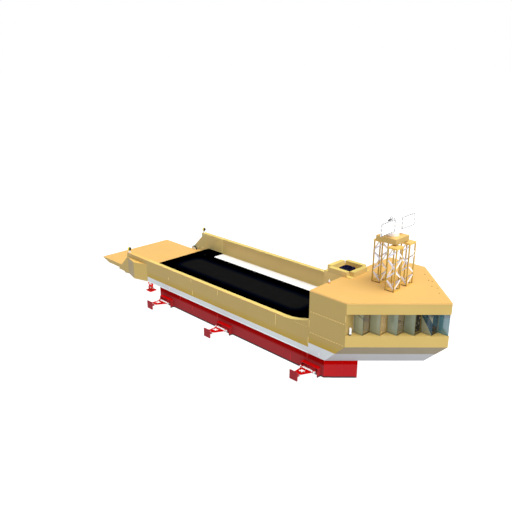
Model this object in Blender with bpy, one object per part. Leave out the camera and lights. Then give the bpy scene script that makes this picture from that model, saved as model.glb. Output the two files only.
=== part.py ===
"""River barge: a flat-bottomed twin-hull work barge with a wheelhouse across its bow.

Metres, +Z up, +X forward, +Y to port. The origin is on the floor under the middle of the
barge's length. The barge stands on the skids of its two hulls.
"""

import math

import bmesh
import bpy
from mathutils import Matrix, Vector

# Gap between pieces that touch, and how far fused shapes sink into each other
GAP = 0.0003
SINK = 0.01

# Length, beam and the stations along the barge
LENGTH = 30.14
HALF_BEAM = 4.0
BOW_X = LENGTH / 2
RAMP_TIP_X = -LENGTH / 2
SHOULDER_X = BOW_X - HALF_BEAM
HOUSE_REAR_X = SHOULDER_X - 2.6
WHITE_AFT_X = SHOULDER_X - 18.68
DECK_AFT_X = SHOULDER_X - 20.5
TRANSOM_X = SHOULDER_X - 17.1

# Levels
SKID_TOP_Z = 0.10
HULL_TOP_Z = 1.14
WHITE_TOP_Z = 1.54
DECK_Z = 1.59
BOW_BAND_TOP_Z = 1.83
FLOOR_Z = 2.485
GUNWALE_Z = 2.84
SILL_Z = 3.155
HEAD_Z = 4.45
ROOF_UNDER_Z = 5.05
ROOF_Z = 5.13

# Twin hulls
HULL_Y = 2.64
HULL_HALF_WIDTH = 1.36
HULL_SHOULDER_X = SHOULDER_X - 1.38
FOREFOOT_STEP_X = HULL_SHOULDER_X + 0.30
SKID_INSET = 0.02
FOREFOOT_INSET = 0.004

# Bulwarks, black deck and stern
BULWARK_INNER_Y = 3.65
BULWARK_AFT_X = SHOULDER_X - 21.33
BULWARK_END_Z = 2.51
BULWARK_FOOT_X = SHOULDER_X - 22.68
BULWARK_FOOT_Z = (1.17, 1.20)
SWEEP_START_X = SHOULDER_X - 4.6
SWEEP_TOP_Z = 3.26
SWEEP_STEPS = 6
WALKWAY_INNER_Y = 2.53
WALKWAY_AFT_X = SHOULDER_X - 18.6
WEDGE_OUT = 0.37
WEDGE_X = (SHOULDER_X - 21.27, SHOULDER_X - 19.95, SHOULDER_X - 18.70)
WEDGE_Z = (1.15, 2.5)

# Stern ramp, and the level platform and the hubs it hinges on
RAMP_TOP_Z = 1.20
RAMP_HALF_WIDTH = 3.395
RAMP_THICK = 0.31
RAMP_KNEE_X = SHOULDER_X - 25.20
RAMP_TIP_THICK = 0.03
RAMP_NOSE_R = 0.08
RAMP_AXIS_X = SHOULDER_X - 22.24
RAMP_AXIS_Z = RAMP_TOP_Z - RAMP_NOSE_R
RAMP_BOSS_R = 0.07
RAMP_BOSS_END_Y = 3.40
RAMP_PIN_R = 0.045
RAMP_PIN_END_Y = 3.60
PIN_CLEAR = 0.006
HUB_R = 0.30
APRON_AFT_X = RAMP_AXIS_X + RAMP_NOSE_R + 0.01
APRON_LOW_Z = 0.90

# Folding legs: pin height, pin distance from the centreline, arm length, tilt of the arm
LEG_STATIONS = (
    # name, x, pin y, pin z, arm length, arm tilt in degrees below level
    ("aft", SHOULDER_X - 16.16, 4.42, 0.36, 1.00, -8.0),
    ("mid", SHOULDER_X - 9.80, 4.42, 0.36, 1.00, -8.0),
    ("fore", SHOULDER_X - 2.25, 4.42, 0.36, 1.00, -8.0),
    ("stern", SHOULDER_X - 19.35, 3.30, 1.03, 0.755, 90.0),
)
ARM_HALF_WIDTH = 0.42
ARM_TIP_HALF_WIDTH = 0.22
ARM_THICK = 0.06
ARM_INSET = 0.07
ARM_LUG = 0.10
ARM_EYE_X = (0.15, 0.21)
CROSS_REACH = 0.17
CROSS_HALF_WIDTH = 0.05
CROSS_THICK = 0.03
LEG_PIN_R = 0.045
LEG_BORE_R = 0.052
LEG_EYE_R = 0.075
LEG_EYE_THICK = 0.06
LEG_SLEEVE_R = 0.08
LEG_COLLAR_X = (0.4835, 0.545)
FOOT_HALF_WIDTH = 0.285
FOOT_THICK = 0.07
FOOT_FACE = 0.19
FOOT_DROP = 0.30
FOOT_RISE = 0.26
FOOT_PIN_HALF = 0.30
FOOT_WEB_X = (ARM_EYE_X[1] + GAP, 0.26)
FOOT_WEB_REACH = 0.03
FOOT_WEB_HALF = 0.055
BRACKET_HALF_WIDTH = 0.65
BRACKET_Z = (0.02, 0.60)
BRACKET_DEPTH = 0.28
BRACKET_PLATE = 0.06
STERN_PLATE_HALF = 0.14
STERN_PLATE_LOW = LEG_SLEEVE_R + 0.01

# Propellers and rudders
SHAFT_Z = 0.55
SHAFT_R = 0.07
SHAFT_END_X = TRANSOM_X - 0.60
STRUT_X = (TRANSOM_X - 0.50, TRANSOM_X - 0.38)
PROPELLER_R = 0.42
PROPELLER_HUB_R = 0.10
PROPELLER_HUB_LENGTH = 0.24
PROPELLER_BLADE = (
    # radius, half chord, lead, thickness
    (0.06, 0.07, 0.03, 0.03),
    (0.26, 0.16, 0.05, 0.02),
    (PROPELLER_R, 0.08, 0.02, 0.015),
)
STRUT_HALF_THICK = 0.03
RUDDER_STOCK_X = TRANSOM_X - 1.32
RUDDER_STOCK_R = 0.045
RUDDER_FORE = 0.22
RUDDER_AFT = 0.44
RUDDER_HALF_THICK = 0.05
RUDDER_TAIL_HALF = 0.01
RUDDER_Z = (0.14, 1.02)
RUDDER_STOCK_LOW_Z = 0.24

# Wheelhouse
WALL = 0.10
WEB = 0.17
FLANGE = 0.85
FLANGE_THICK = 0.08
STEPS = 6
STEP = HALF_BEAM / STEPS
STAIR_INSET = 0.04
POST = 0.07
PANE = 0.02
STEM_BACK = 0.05
THROUGH = 0.1
REAR_WINDOWS_Y = ((-1.95, -1.15), (1.15, 1.95), (2.35, 3.15))
REAR_WINDOW_Z = (3.40, 4.30)

# Rear door: its leaf stands in the doorway, its hinge line outside the wall
DOOR_Y = (-3.10, -2.30)
DOOR_TOP_Z = 4.50
DOOR_CLEAR = 0.008
LEAF_DEPTH = (0.005, 0.055)
LEAF_FRAME = 0.18
LEAF_WINDOW_Z = (3.65, 4.20)
HINGE_OUT = 0.03
HINGE_SIDE = 0.02
HINGE_LEVELS = (FLOOR_Z + 0.30, DOOR_TOP_Z - 0.50)
LUG_X = (HOUSE_REAR_X - 0.05, HOUSE_REAR_X + 0.02)
LUG_Y = (DOOR_Y[0] - 0.06, DOOR_Y[0] - 0.005)
LUG_HEIGHT = 0.06
KNUCKLE_R = 0.018
KNUCKLE_LENGTH = 0.12
STRAP_HALF = 0.01
STRAP_LENGTH = 0.12
STRAP_INSET = 0.02

# Steps to the door
STEP_RISE = (FLOOR_Z - DECK_Z) / 3
STEP_RUN = 0.28
STEPS_Y = (DOOR_Y[0] - 0.05, -WALKWAY_INNER_Y - GAP)

# Desk as (distance from its aft face, height over the floor), and seat
DESK_X = SHOULDER_X + 1.35
DESK_HALF_WIDTH = 0.95
DESK = ((0.0, GAP), (0.0, 0.80), (0.45, 1.05), (0.60, 1.05), (0.60, GAP))
SEAT_X = DESK_X - 0.70
SEAT_HALF = 0.25
SEAT_PAN = (0.44, 0.54)
SEAT_COLUMN_R = 0.07
SEAT_BACK_X = (SEAT_X - 0.27, SEAT_X - 0.17)
SEAT_BACK_HALF = 0.24
SEAT_BACK = (0.50, 1.15)

# Engine casing, its coaming and the cooling fan
CASING_X = (SHOULDER_X - 4.005, SHOULDER_X - 2.005)
CASING_HALF_WIDTH = 1.0
COAMING_WALL = 0.30
COAMING_NOTCH = 0.32
COAMING_TOP_Z = 5.45
CURB = 0.04
FAN_HALF = 0.39
FAN_TOP_Z = 5.34
FAN_BORE_R = 0.33
FAN_BAR_HALF = 0.03
FAN_BAR_Z = (ROOF_Z + 0.02, ROOF_Z + 0.06)
FAN_HUB_R = 0.07
FAN_HUB = (0.06 + GAP, 0.20)
FAN_BLADES = 6
FAN_BLADE = (
    # radius, half chord, height of its high edge and of its low edge over the roof
    (0.05, 0.03, 0.16, 0.10),
    (0.30, 0.09, 0.175, 0.08),
)
FAN_BLADE_THICK = 0.015

# Lattice towers, platform and radar
TOWERS = (
    # name, x, y of each tower's middle
    ("starboard", SHOULDER_X + 0.65, -0.655),
    ("port", SHOULDER_X + 0.65, 0.655),
    ("aft", SHOULDER_X - 0.70, 0.0),
)
TOWER_HALF_X = 0.30
TOWER_HALF_Y = 0.33
TOWER_LEG = 0.065
TOWER_LIP = 0.005
TOWER_BASE = 0.05
TOWER_TOP_Z = 7.70
TOWER_CAP = 0.10
BRACE_RISE = 0.11
BRACE_END = 0.03
BRACE_THICK = 0.03
BRACES_UP = 4
PLATFORM_HALF = 0.66
PLATFORM_Z = (7.76, 8.08)
PAD_HALF = 0.10
PAD_INWARD = 0.15
PAD_Y_SHARE = 0.7
RADAR_X = SHOULDER_X
RADAR_BASE = ((0.36, GAP), (0.36, 0.20), (0.24, 0.22), (0.22, 0.25))
RADAR_TURN_Z = PLATFORM_Z[1] + RADAR_BASE[-1][1]
RADAR_PLATE_R = 0.22
HOUSING_X = (-0.12, 0.20)
HOUSING_HALF = 0.34
HOUSING_Z = (8.41, 8.85)
HOUSING_ARCH = 0.36
BEAM_X = (0.18, 0.27)
BEAM_END_Y = 1.60
BEAM_Z = (8.68, 8.80)
RADAR_PANEL_X = (0.26, 0.32)
RADAR_PANEL_Y = (0.36, 1.68)
RADAR_PANEL_Z = (8.40, 9.12)

# Lamps as (radius, height) profiles, with the x and y of each starboard and port pair
STERN_LAMP_PLACE = (SHOULDER_X - 21.22, 3.82)
STERN_LAMP = (
    (0.10, GAP),
    (0.10, 0.09),
    (0.06, 0.11),
    (0.06, 0.16),
    (0.13, 0.22),
    (0.15, 0.30),
    (0.12, 0.39),
    (0.04, 0.45),
)
LANTERN_PLACE = (SHOULDER_X + 0.10, 3.70)
LANTERN = ((0.08, GAP), (0.08, 0.085), (0.07, 0.105), (0.07, 0.365), (0.045, 0.445))


def clear_scene():
    for item in list(bpy.data.objects):
        bpy.data.objects.remove(item, do_unlink=True)


def paint(name, colour, roughness, metallic=0.0):
    """Return the material of this name, made on first use."""
    material = bpy.data.materials.get(name)
    if material is None:
        material = bpy.data.materials.new(name)
        material.use_nodes = True
        shader = material.node_tree.nodes["Principled BSDF"]
        shader.inputs["Base Color"].default_value = (*colour, 1.0)
        shader.inputs["Roughness"].default_value = roughness
        shader.inputs["Metallic"].default_value = metallic
    return material


def yellow():
    return paint("yellow_paint", (0.86, 0.60, 0.22), 0.55)


def red():
    return paint("red_paint", (0.62, 0.03, 0.03), 0.55)


def white():
    return paint("white_paint", (0.85, 0.87, 0.88), 0.50)


def black():
    return paint("black_deck_paint", (0.01, 0.01, 0.012), 0.80)


def grey():
    return paint("grey_steel", (0.45, 0.50, 0.50), 0.45, 0.6)


def navy():
    return paint("navy_paint", (0.01, 0.01, 0.06), 0.50)


def tinted_glass():
    return paint("tinted_glass", (0.20, 0.36, 0.38), 0.05)


def at_plane(plane, a, b, c):
    """Put outline coordinates a, b and height c on world axes."""
    if plane == "xy":
        return Vector((a, b, c))
    if plane == "xz":
        return Vector((a, c, b))
    return Vector((c, a, b))


def finish(shape):
    bmesh.ops.recalc_face_normals(shape, faces=shape.faces)
    return shape


def prism(outline, plane, low, high):
    """Extrude an outline that lies in the plane xy, xz or yz from low to high."""
    return loft([[at_plane(plane, a, b, level) for a, b in outline] for level in (low, high)])


def box(x, y, z):
    """Box from three (low, high) pairs."""
    return prism(((x[0], y[0]), (x[1], y[0]), (x[1], y[1]), (x[0], y[1])), "xy", *z)


def loft(sections):
    """Join closed sections of equal point count, with a cap on each end."""
    shape = bmesh.new()
    rings = [[shape.verts.new(point) for point in section] for section in sections]
    for ring, following in zip(rings, rings[1:]):
        for index in range(len(ring)):
            after = (index + 1) % len(ring)
            shape.faces.new((ring[index], ring[after], following[after], following[index]))
    shape.faces.new(rings[0])
    shape.faces.new(rings[-1])
    return finish(shape)


def ring_prism(outer, inner, plane, low, high):
    """Extrude a plate with one hole; outer and inner have the same point count."""
    shape = bmesh.new()
    loops = [
        [shape.verts.new(at_plane(plane, a, b, level)) for a, b in outline]
        for outline, level in ((outer, low), (outer, high), (inner, high), (inner, low))
    ]
    for loop, following in zip(loops, loops[1:] + loops[:1]):
        for index in range(len(loop)):
            after = (index + 1) % len(loop)
            shape.faces.new((loop[index], loop[after], following[after], following[index]))
    return finish(shape)


def circle(radius, sides, centre=(0.0, 0.0)):
    """Points of a circle, the first one at half a step."""
    turns = [(index + 0.5) * math.tau / sides for index in range(sides)]
    return [(centre[0] + radius * math.cos(t), centre[1] + radius * math.sin(t)) for t in turns]


def rectangle(half_x, half_y):
    return [(-half_x, -half_y), (half_x, -half_y), (half_x, half_y), (-half_x, half_y)]


def rod(plane, centre, radius, low, high, sides=12):
    """Round bar square to the given plane."""
    return prism(circle(radius, sides, centre), plane, low, high)


def turned(profile, centre, sides=16):
    """Solid turned about a vertical line through centre, from (radius, z) pairs upward."""
    sections = []
    for radius, level in profile:
        sections.append([Vector((a, b, level)) for a, b in circle(radius, sides, centre)])
    return loft(sections)


def stand_in(shape):
    mesh = bpy.data.meshes.new("stand_in")
    shape.to_mesh(mesh)
    shape.free()
    item = bpy.data.objects.new("stand_in", mesh)
    bpy.context.collection.objects.link(item)
    return item


def combine(base, tool, operation):
    """Exact Boolean of two shapes."""
    first = stand_in(base)
    second = stand_in(tool)
    modifier = first.modifiers.new("combine", "BOOLEAN")
    modifier.solver = "EXACT"
    modifier.operation = operation
    modifier.object = second
    evaluated = first.evaluated_get(bpy.context.evaluated_depsgraph_get())
    result = bmesh.new()
    result.from_mesh(evaluated.to_mesh())
    for item in (first, second):
        mesh = item.data
        bpy.data.objects.remove(item, do_unlink=True)
        bpy.data.meshes.remove(mesh)
    return result


def fuse(base, *tools):
    for tool in tools:
        base = combine(base, tool, "UNION")
    return base


def cut(base, *tools):
    for tool in tools:
        base = combine(base, tool, "DIFFERENCE")
    return base


def moved(shape, matrix):
    bmesh.ops.transform(shape, matrix=matrix, verts=shape.verts)
    return shape


def part(name, shape, material, place=None):
    """Make the object; a moving piece is shaped about its pivot and placed by a matrix."""
    mesh = bpy.data.meshes.new(name)
    shape.to_mesh(mesh)
    shape.free()
    mesh.shade_smooth()
    mesh.set_sharp_from_angle(angle=math.radians(35))
    mesh.materials.append(material)
    item = bpy.data.objects.new(name, mesh)
    bpy.context.collection.objects.link(item)
    if place is not None:
        item.matrix_world = place
    return item


def mirrored(points):
    """Outline points followed by their mirror images across the centreline."""
    return list(points) + [(x, -y) for x, y in reversed(points) if y != 0.0]


def span(side, low, high):
    """The y range low..high on one side."""
    return (side * high, side * low) if side < 0 else (low, high)


# Hulls


def hull_outline(inset, aft_x, shoulder_x):
    """Plan of one hull: square stern, bow brought to a point at 45 degrees."""
    half = HULL_HALF_WIDTH - inset
    bow = shoulder_x + HULL_HALF_WIDTH - inset * math.sqrt(2.0)
    return [(aft_x, -half), (bow - half, -half), (bow, 0.0), (bow - half, half), (aft_x, half)]


def hull(side, bracket):
    """One demi-hull with its skid, forefoot, leg brackets and stern tube."""
    y = side * HULL_Y
    skid = hull_outline(SKID_INSET, TRANSOM_X + SKID_INSET, HULL_SHOULDER_X)
    skid_end = FOREFOOT_STEP_X + SINK
    half = skid[2][0] - skid_end
    skid[2:3] = [(skid_end, -half), (skid_end, half)]
    bow = HULL_SHOULDER_X + HULL_HALF_WIDTH - FOREFOOT_INSET
    half = bow - FOREFOOT_STEP_X
    forefoot = ((FOREFOOT_STEP_X, -half), (bow, 0.0), (FOREFOOT_STEP_X, half))
    shape = prism(hull_outline(0.0, TRANSOM_X, HULL_SHOULDER_X), "xy", SKID_TOP_Z, HULL_TOP_Z)
    shape = fuse(shape, prism(skid, "xy", 0.0, SKID_TOP_Z + SINK))
    shape = fuse(shape, prism(forefoot, "xy", FOREFOOT_INSET / 2, SKID_TOP_Z + 2 * SINK))
    moved(shape, Matrix.Translation((0.0, y, 0.0)))
    for station in LEG_STATIONS[:3]:
        shape = fuse(shape, moved(bracket.copy(), leg_stand(station, side)))
    tube = rod("yz", (y, SHAFT_Z), SHAFT_R, SHAFT_END_X, TRANSOM_X + SINK)
    strut = box(STRUT_X, (y - STRUT_HALF_THICK, y + STRUT_HALF_THICK), (SHAFT_Z, HULL_TOP_Z))
    return fuse(shape, tube, strut)


def make_hulls():
    bracket = side_bracket()
    part("hull_starboard", hull(-1, bracket), red())
    part("hull_port", hull(1, bracket), red())


# Deck structure


def bow_section(level):
    """Plan of the bow at one level: below the floor it rakes back at 45 degrees."""
    back = FLOOR_Z - level
    points = ((HOUSE_REAR_X, -HALF_BEAM), (SHOULDER_X - back, -HALF_BEAM), (BOW_X - back, 0.0))
    return [Vector((x, y, level)) for x, y in mirrored(points)]


def make_deck_structure():
    beam = (-HALF_BEAM, HALF_BEAM)
    across = (HULL_TOP_Z + GAP, WHITE_TOP_Z)
    part("cross_deck", box((WHITE_AFT_X, HOUSE_REAR_X - GAP), beam, across), white())
    stern = box((DECK_AFT_X, WHITE_AFT_X - GAP), beam, across)
    bracket = stern_bracket()
    for side in (-1, 1):
        stern = fuse(stern, moved(bracket.copy(), leg_stand(LEG_STATIONS[3], side)))
    part("stern_box", stern, yellow())
    lower = [bow_section(HULL_TOP_Z + GAP), bow_section(BOW_BAND_TOP_Z)]
    upper = [bow_section(BOW_BAND_TOP_Z + GAP), bow_section(FLOOR_Z)]
    part("bow_band", loft(lower), white())
    part("bow_chamfer", loft(upper), yellow())
    edge = BULWARK_INNER_Y - GAP
    plate = [
        (DECK_AFT_X, -edge),
        (WALKWAY_AFT_X, -edge),
        (WALKWAY_AFT_X, -WALKWAY_INNER_Y),
        (HOUSE_REAR_X - GAP, -WALKWAY_INNER_Y),
    ]
    part("deck_plate", prism(mirrored(plate), "xy", WHITE_TOP_Z + GAP, DECK_Z), black())


def bulwark(side):
    """Box-section bulwark: cut-back stern end, fore end swept up to the house."""
    sweep = []
    for index in range(SWEEP_STEPS + 1):
        share = index / SWEEP_STEPS
        rise = 1.0 - math.cos(share * math.pi / 2)
        x = SWEEP_START_X + share * (HOUSE_REAR_X - GAP - SWEEP_START_X)
        sweep.append((x, GUNWALE_Z + rise * (SWEEP_TOP_Z - GUNWALE_Z)))
    outline = [
        (HOUSE_REAR_X - GAP, WHITE_TOP_Z + GAP),
        *reversed(sweep),
        (BULWARK_AFT_X, GUNWALE_Z),
        (BULWARK_AFT_X, BULWARK_END_Z),
        (BULWARK_FOOT_X, BULWARK_FOOT_Z[1]),
        (BULWARK_FOOT_X, BULWARK_FOOT_Z[0]),
        (DECK_AFT_X - GAP, HULL_TOP_Z),
        (DECK_AFT_X - GAP, WHITE_TOP_Z + GAP),
    ]
    wall = prism(outline, "xz", *span(side, BULWARK_INNER_Y, HALF_BEAM))
    return fuse(wall, *stern_wedge(side), hinge_hub(side))


def stern_wedge(side):
    """Fender wedge on the quarter, three-cornered in plan, in a lower and an upper length."""
    aft, apex, fore = WEDGE_X
    tip = (apex, side * (HALF_BEAM + WEDGE_OUT))
    face = side * (HALF_BEAM + GAP)
    root = side * (HALF_BEAM - SINK)
    low, high = WEDGE_Z
    outside = ((aft, face), tip, (fore, face))
    lower = prism(outside, "xy", low, WHITE_TOP_Z + 2 * SINK)
    upper = prism(((aft, root), *outside, (fore, root)), "xy", WHITE_TOP_Z + SINK, high)
    return upper, lower


def hinge_hub(side):
    """Round hub on a bulwark's inner face for the ramp's pin."""
    centre = (RAMP_AXIS_X, RAMP_AXIS_Z)
    outer = circle(HUB_R, 24, centre)
    inner = circle(RAMP_PIN_R + PIN_CLEAR, 24, centre)
    return ring_prism(outer, inner, "xz", *span(side, RAMP_BOSS_END_Y + GAP, BULWARK_INNER_Y + SINK))


def make_sides():
    part("bulwark_starboard", bulwark(-1), yellow())
    part("bulwark_port", bulwark(1), yellow())


# Stern ramp


def make_apron():
    """Level platform under the deck's after edge, narrower between the ramp's hubs."""
    narrow = -RAMP_BOSS_END_Y + GAP
    wide = -BULWARK_INNER_Y + GAP
    hub_x = RAMP_AXIS_X + HUB_R + GAP
    outline = ((APRON_AFT_X, narrow), (hub_x, narrow), (hub_x, wide), (DECK_AFT_X - GAP, wide))
    part("stern_apron", prism(mirrored(outline), "xy", APRON_LOW_Z, RAMP_TOP_Z), yellow())


def make_ramp():
    """Thick flap with a bevelled tip and a round nose, on a pin at each end."""
    top = RAMP_NOSE_R
    low = top - RAMP_THICK
    tip_x = RAMP_TIP_X - RAMP_AXIS_X
    knee_x = RAMP_KNEE_X - RAMP_AXIS_X
    outline = [(tip_x, top), (tip_x, top - RAMP_TIP_THICK), (knee_x, low), (0.0, low)]
    for index in range(10):
        turn = math.radians(20 * index - 90)
        outline.append((RAMP_NOSE_R * math.cos(turn), RAMP_NOSE_R * math.sin(turn)))
    flap = prism(outline, "xz", -RAMP_HALF_WIDTH, RAMP_HALF_WIDTH)
    boss = rod("xz", (0.0, 0.0), RAMP_BOSS_R, -RAMP_BOSS_END_Y, RAMP_BOSS_END_Y, 16)
    pin = rod("xz", (0.0, 0.0), RAMP_PIN_R, -RAMP_PIN_END_Y, RAMP_PIN_END_Y, 12)
    place = Matrix.Translation((RAMP_AXIS_X, 0.0, RAMP_AXIS_Z))
    part("ramp", fuse(flap, boss, pin), yellow(), place)


# Folding legs


def eye(low, high, root, length):
    """Eye plate about the X axis: half round outside, with a shank toward the root direction."""
    shank = ((0.5, 1.0), (1.0, 1.0), (1.0, 0.5), (1.0, 0.0), (1.0, -0.5), (1.0, -1.0), (0.5, -1.0))
    nose = [math.pi / 2 + index * math.pi / 8 for index in range(9)]
    outer = [(along * length, across * LEG_EYE_R) for along, across in reversed(shank)]
    outer += [(LEG_EYE_R * math.cos(t), LEG_EYE_R * math.sin(t)) for t in nose]
    turns = [(index - 3) * math.pi / 8 for index in range(16)]
    inner = [(LEG_BORE_R * math.cos(t), LEG_BORE_R * math.sin(t)) for t in turns]
    outlines = []
    for outline in (outer, inner):
        outlines.append([(a * root[0] - b * root[1], a * root[1] + b * root[0]) for a, b in outline])
    return ring_prism(*outlines, "yz", low, high)


def leg_stand(station, side):
    """Place of a leg's pin; a leg is shaped with outboard at -Y, and turned about for port."""
    x, pin_y, pin_z = station[1:4]
    turn = Matrix.Rotation(0.0 if side < 0 else math.pi, 4, "Z")
    return Matrix.Translation((x, side * pin_y, pin_z)) @ turn


def side_bracket():
    """Open steel bracket on a hull's side, shaped about the leg's pin."""
    back = LEG_STATIONS[0][2] - HALF_BEAM + SINK
    pin_z = LEG_STATIONS[0][3]
    low, high = (level - pin_z for level in BRACKET_Z)
    half = BRACKET_HALF_WIDTH
    inner = half - BRACKET_PLATE
    hood = (
        (-half, low),
        (-half, high),
        (half, high),
        (half, low),
        (inner, low),
        (inner, high - BRACKET_PLATE),
        (-inner, high - BRACKET_PLATE),
        (-inner, low),
    )
    wide = half + SINK
    plate = box((-wide, wide), (back - BRACKET_PLATE, back), (low - SINK, high + SINK))
    shape = fuse(plate, prism(hood, "xz", back - BRACKET_DEPTH, back - BRACKET_PLATE + SINK))
    for end in (-1, 1):
        eye_x = span(end, ARM_HALF_WIDTH + GAP, ARM_HALF_WIDTH + LEG_EYE_THICK)
        shape = fuse(shape, eye(*eye_x, (1.0, 0.0), back - BRACKET_PLATE + SINK))
    return shape


def stern_bracket():
    """Plate under the stern with two eyes, shaped about the leg's pin."""
    top = HULL_TOP_Z + SINK - LEG_STATIONS[3][3]
    half = BRACKET_HALF_WIDTH
    plate = box((-half, half), (-STERN_PLATE_HALF, STERN_PLATE_HALF), (STERN_PLATE_LOW, top))
    for end in (-1, 1):
        eye_x = span(end, ARM_HALF_WIDTH + GAP, ARM_HALF_WIDTH + LEG_EYE_THICK)
        plate = fuse(plate, eye(*eye_x, (0.0, 1.0), STERN_PLATE_LOW + SINK))
    return plate


def leg_arm(length):
    """Tapered arm plate with its sleeved pin, two eyes at its tip and a cross on its upper face."""
    inner_y = -ARM_INSET
    outer_y = -length + ARM_INSET
    half = ARM_THICK / 2
    wide = ARM_HALF_WIDTH - SINK / 2
    tip = ARM_TIP_HALF_WIDTH
    shape = prism(((-wide, inner_y), (wide, inner_y), (tip, outer_y), (-tip, outer_y)), "xy", -half, half)
    for end in (-1, 1):
        lug_x = span(end, ARM_HALF_WIDTH - ARM_LUG, ARM_HALF_WIDTH)
        lug = box(lug_x, (inner_y - SINK, SINK), (-half + SINK / 2, half - SINK / 2))
        ring = eye(*span(end, *ARM_EYE_X), (1.0, 0.0), ARM_INSET + SINK)
        shape = fuse(shape, lug, moved(ring, Matrix.Translation((0.0, -length, 0.0))))
    sleeve_end = ARM_HALF_WIDTH - ARM_LUG + SINK
    shape = fuse(shape, rod("yz", (0.0, 0.0), LEG_SLEEVE_R, -sleeve_end, sleeve_end, 16))
    pin_end = LEG_COLLAR_X[1] - SINK
    shape = fuse(shape, rod("yz", (0.0, 0.0), LEG_PIN_R, -pin_end, pin_end))
    for end in (-1, 1):
        shape = fuse(shape, rod("yz", (0.0, 0.0), LEG_SLEEVE_R, *span(end, *LEG_COLLAR_X), 16))
    place = Matrix.Translation((0.0, (inner_y + outer_y) / 2, 0.0)) @ Matrix.Rotation(math.pi / 4, 4, "Z")
    return fuse(shape, moved(arm_cross(half), place))


def arm_cross(half):
    """Raised cross, sunk into the upper face of the arm's plate."""
    wide = CROSS_HALF_WIDTH
    quarter = ((CROSS_REACH, -wide), (CROSS_REACH, wide), (wide, wide))
    cross = []
    for cosine, sine in ((1, 0), (0, 1), (-1, 0), (0, -1)):
        cross += [(a * cosine - b * sine, a * sine + b * cosine) for a, b in quarter]
    return prism(cross, "xy", half - SINK, half + CROSS_THICK)


def leg_foot():
    """Foot plate on its own pin, joined by two webs; the plate lies outboard of the pin."""
    plate_y = (-FOOT_FACE - FOOT_THICK, -FOOT_FACE)
    shape = box((-FOOT_HALF_WIDTH, FOOT_HALF_WIDTH), plate_y, (-FOOT_DROP, FOOT_RISE))
    for end in (-1, 1):
        web_y = (-FOOT_FACE - SINK, FOOT_WEB_REACH)
        shape = fuse(shape, box(span(end, *FOOT_WEB_X), web_y, (-FOOT_WEB_HALF, FOOT_WEB_HALF)))
    return fuse(shape, rod("yz", (0.0, 0.0), LEG_PIN_R, -FOOT_PIN_HALF, FOOT_PIN_HALF))


def make_legs():
    arms = {station[4]: leg_arm(station[4]) for station in LEG_STATIONS}
    foot = leg_foot()
    for station in LEG_STATIONS:
        name, length, tilt = station[0], station[4], math.radians(station[5])
        for side, side_name in ((-1, "starboard"), (1, "port")):
            stand = leg_stand(station, side)
            arm_place = stand @ Matrix.Rotation(tilt, 4, "X")
            foot_tilt = tilt if name == "stern" else 0.0
            foot_turn = stand.to_3x3().to_4x4() @ Matrix.Rotation(foot_tilt, 4, "X")
            foot_place = Matrix.Translation(arm_place @ Vector((0.0, -length, 0.0))) @ foot_turn
            part(f"leg_arm_{side_name}_{name}", arms[length].copy(), red(), arm_place)
            part(f"leg_foot_{side_name}_{name}", foot.copy(), red(), foot_place)


# Propellers and rudders


def propeller():
    """Four-bladed propeller about the X axis."""
    length = PROPELLER_HUB_LENGTH
    shape = rod("yz", (0.0, 0.0), PROPELLER_HUB_R, -length, 0.0, 16)
    sections = []
    for radius, chord, lead, thick in PROPELLER_BLADE:
        outline = ((-lead, -chord), (thick - lead, -chord), (lead, chord), (lead - thick, chord))
        sections.append([Vector((a - length / 2, b, radius)) for a, b in outline])
    for index in range(4):
        shape = fuse(shape, moved(loft(sections), Matrix.Rotation(index * math.pi / 2, 4, "X")))
    return shape


def rudder():
    """Rudder about its stock, thick at the stock and thin aft."""
    outline = (
        (RUDDER_FORE, 0.0),
        (0.0, RUDDER_HALF_THICK),
        (-RUDDER_AFT, RUDDER_TAIL_HALF),
        (-RUDDER_AFT, -RUDDER_TAIL_HALF),
        (0.0, -RUDDER_HALF_THICK),
    )
    blade = prism(outline, "xy", *RUDDER_Z)
    stock = rod("xy", (0.0, 0.0), RUDDER_STOCK_R, RUDDER_STOCK_LOW_Z, HULL_TOP_Z)
    return fuse(blade, stock)


def make_propulsion():
    for side, side_name in ((-1, "starboard"), (1, "port")):
        y = side * HULL_Y
        place = Matrix.Translation((SHAFT_END_X - GAP, y, SHAFT_Z))
        part(f"propeller_{side_name}", propeller(), grey(), place)
        place = Matrix.Translation((RUDDER_STOCK_X, y, 0.0))
        part(f"rudder_{side_name}", rudder(), red(), place)


# Wheelhouse


def bow_sweep(profile):
    """Sweep a (setback, z) profile around the V of the bow, shoulder to shoulder."""
    starboard = [Vector((SHOULDER_X, -HALF_BEAM + back, z)) for back, z in profile]
    stem = [Vector((BOW_X - back, 0.0, z)) for back, z in profile]
    port = [Vector((SHOULDER_X, HALF_BEAM - back, z)) for back, z in profile]
    return loft([starboard, stem, port])


def make_house_front():
    sill = (
        (0.0, FLOOR_Z + GAP),
        (0.0, SILL_Z),
        (FLANGE, SILL_Z),
        (FLANGE, SILL_Z - FLANGE_THICK),
        (WEB, SILL_Z - FLANGE_THICK),
        (WEB, FLOOR_Z + GAP),
    )
    head = (
        (0.0, HEAD_Z),
        (0.0, ROOF_UNDER_Z),
        (WEB, ROOF_UNDER_Z),
        (WEB, HEAD_Z + FLANGE_THICK),
        (FLANGE, HEAD_Z + FLANGE_THICK),
        (FLANGE, HEAD_Z),
    )
    part("house_front", bow_sweep(sill), yellow())
    part("house_header", bow_sweep(head), yellow())


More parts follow.
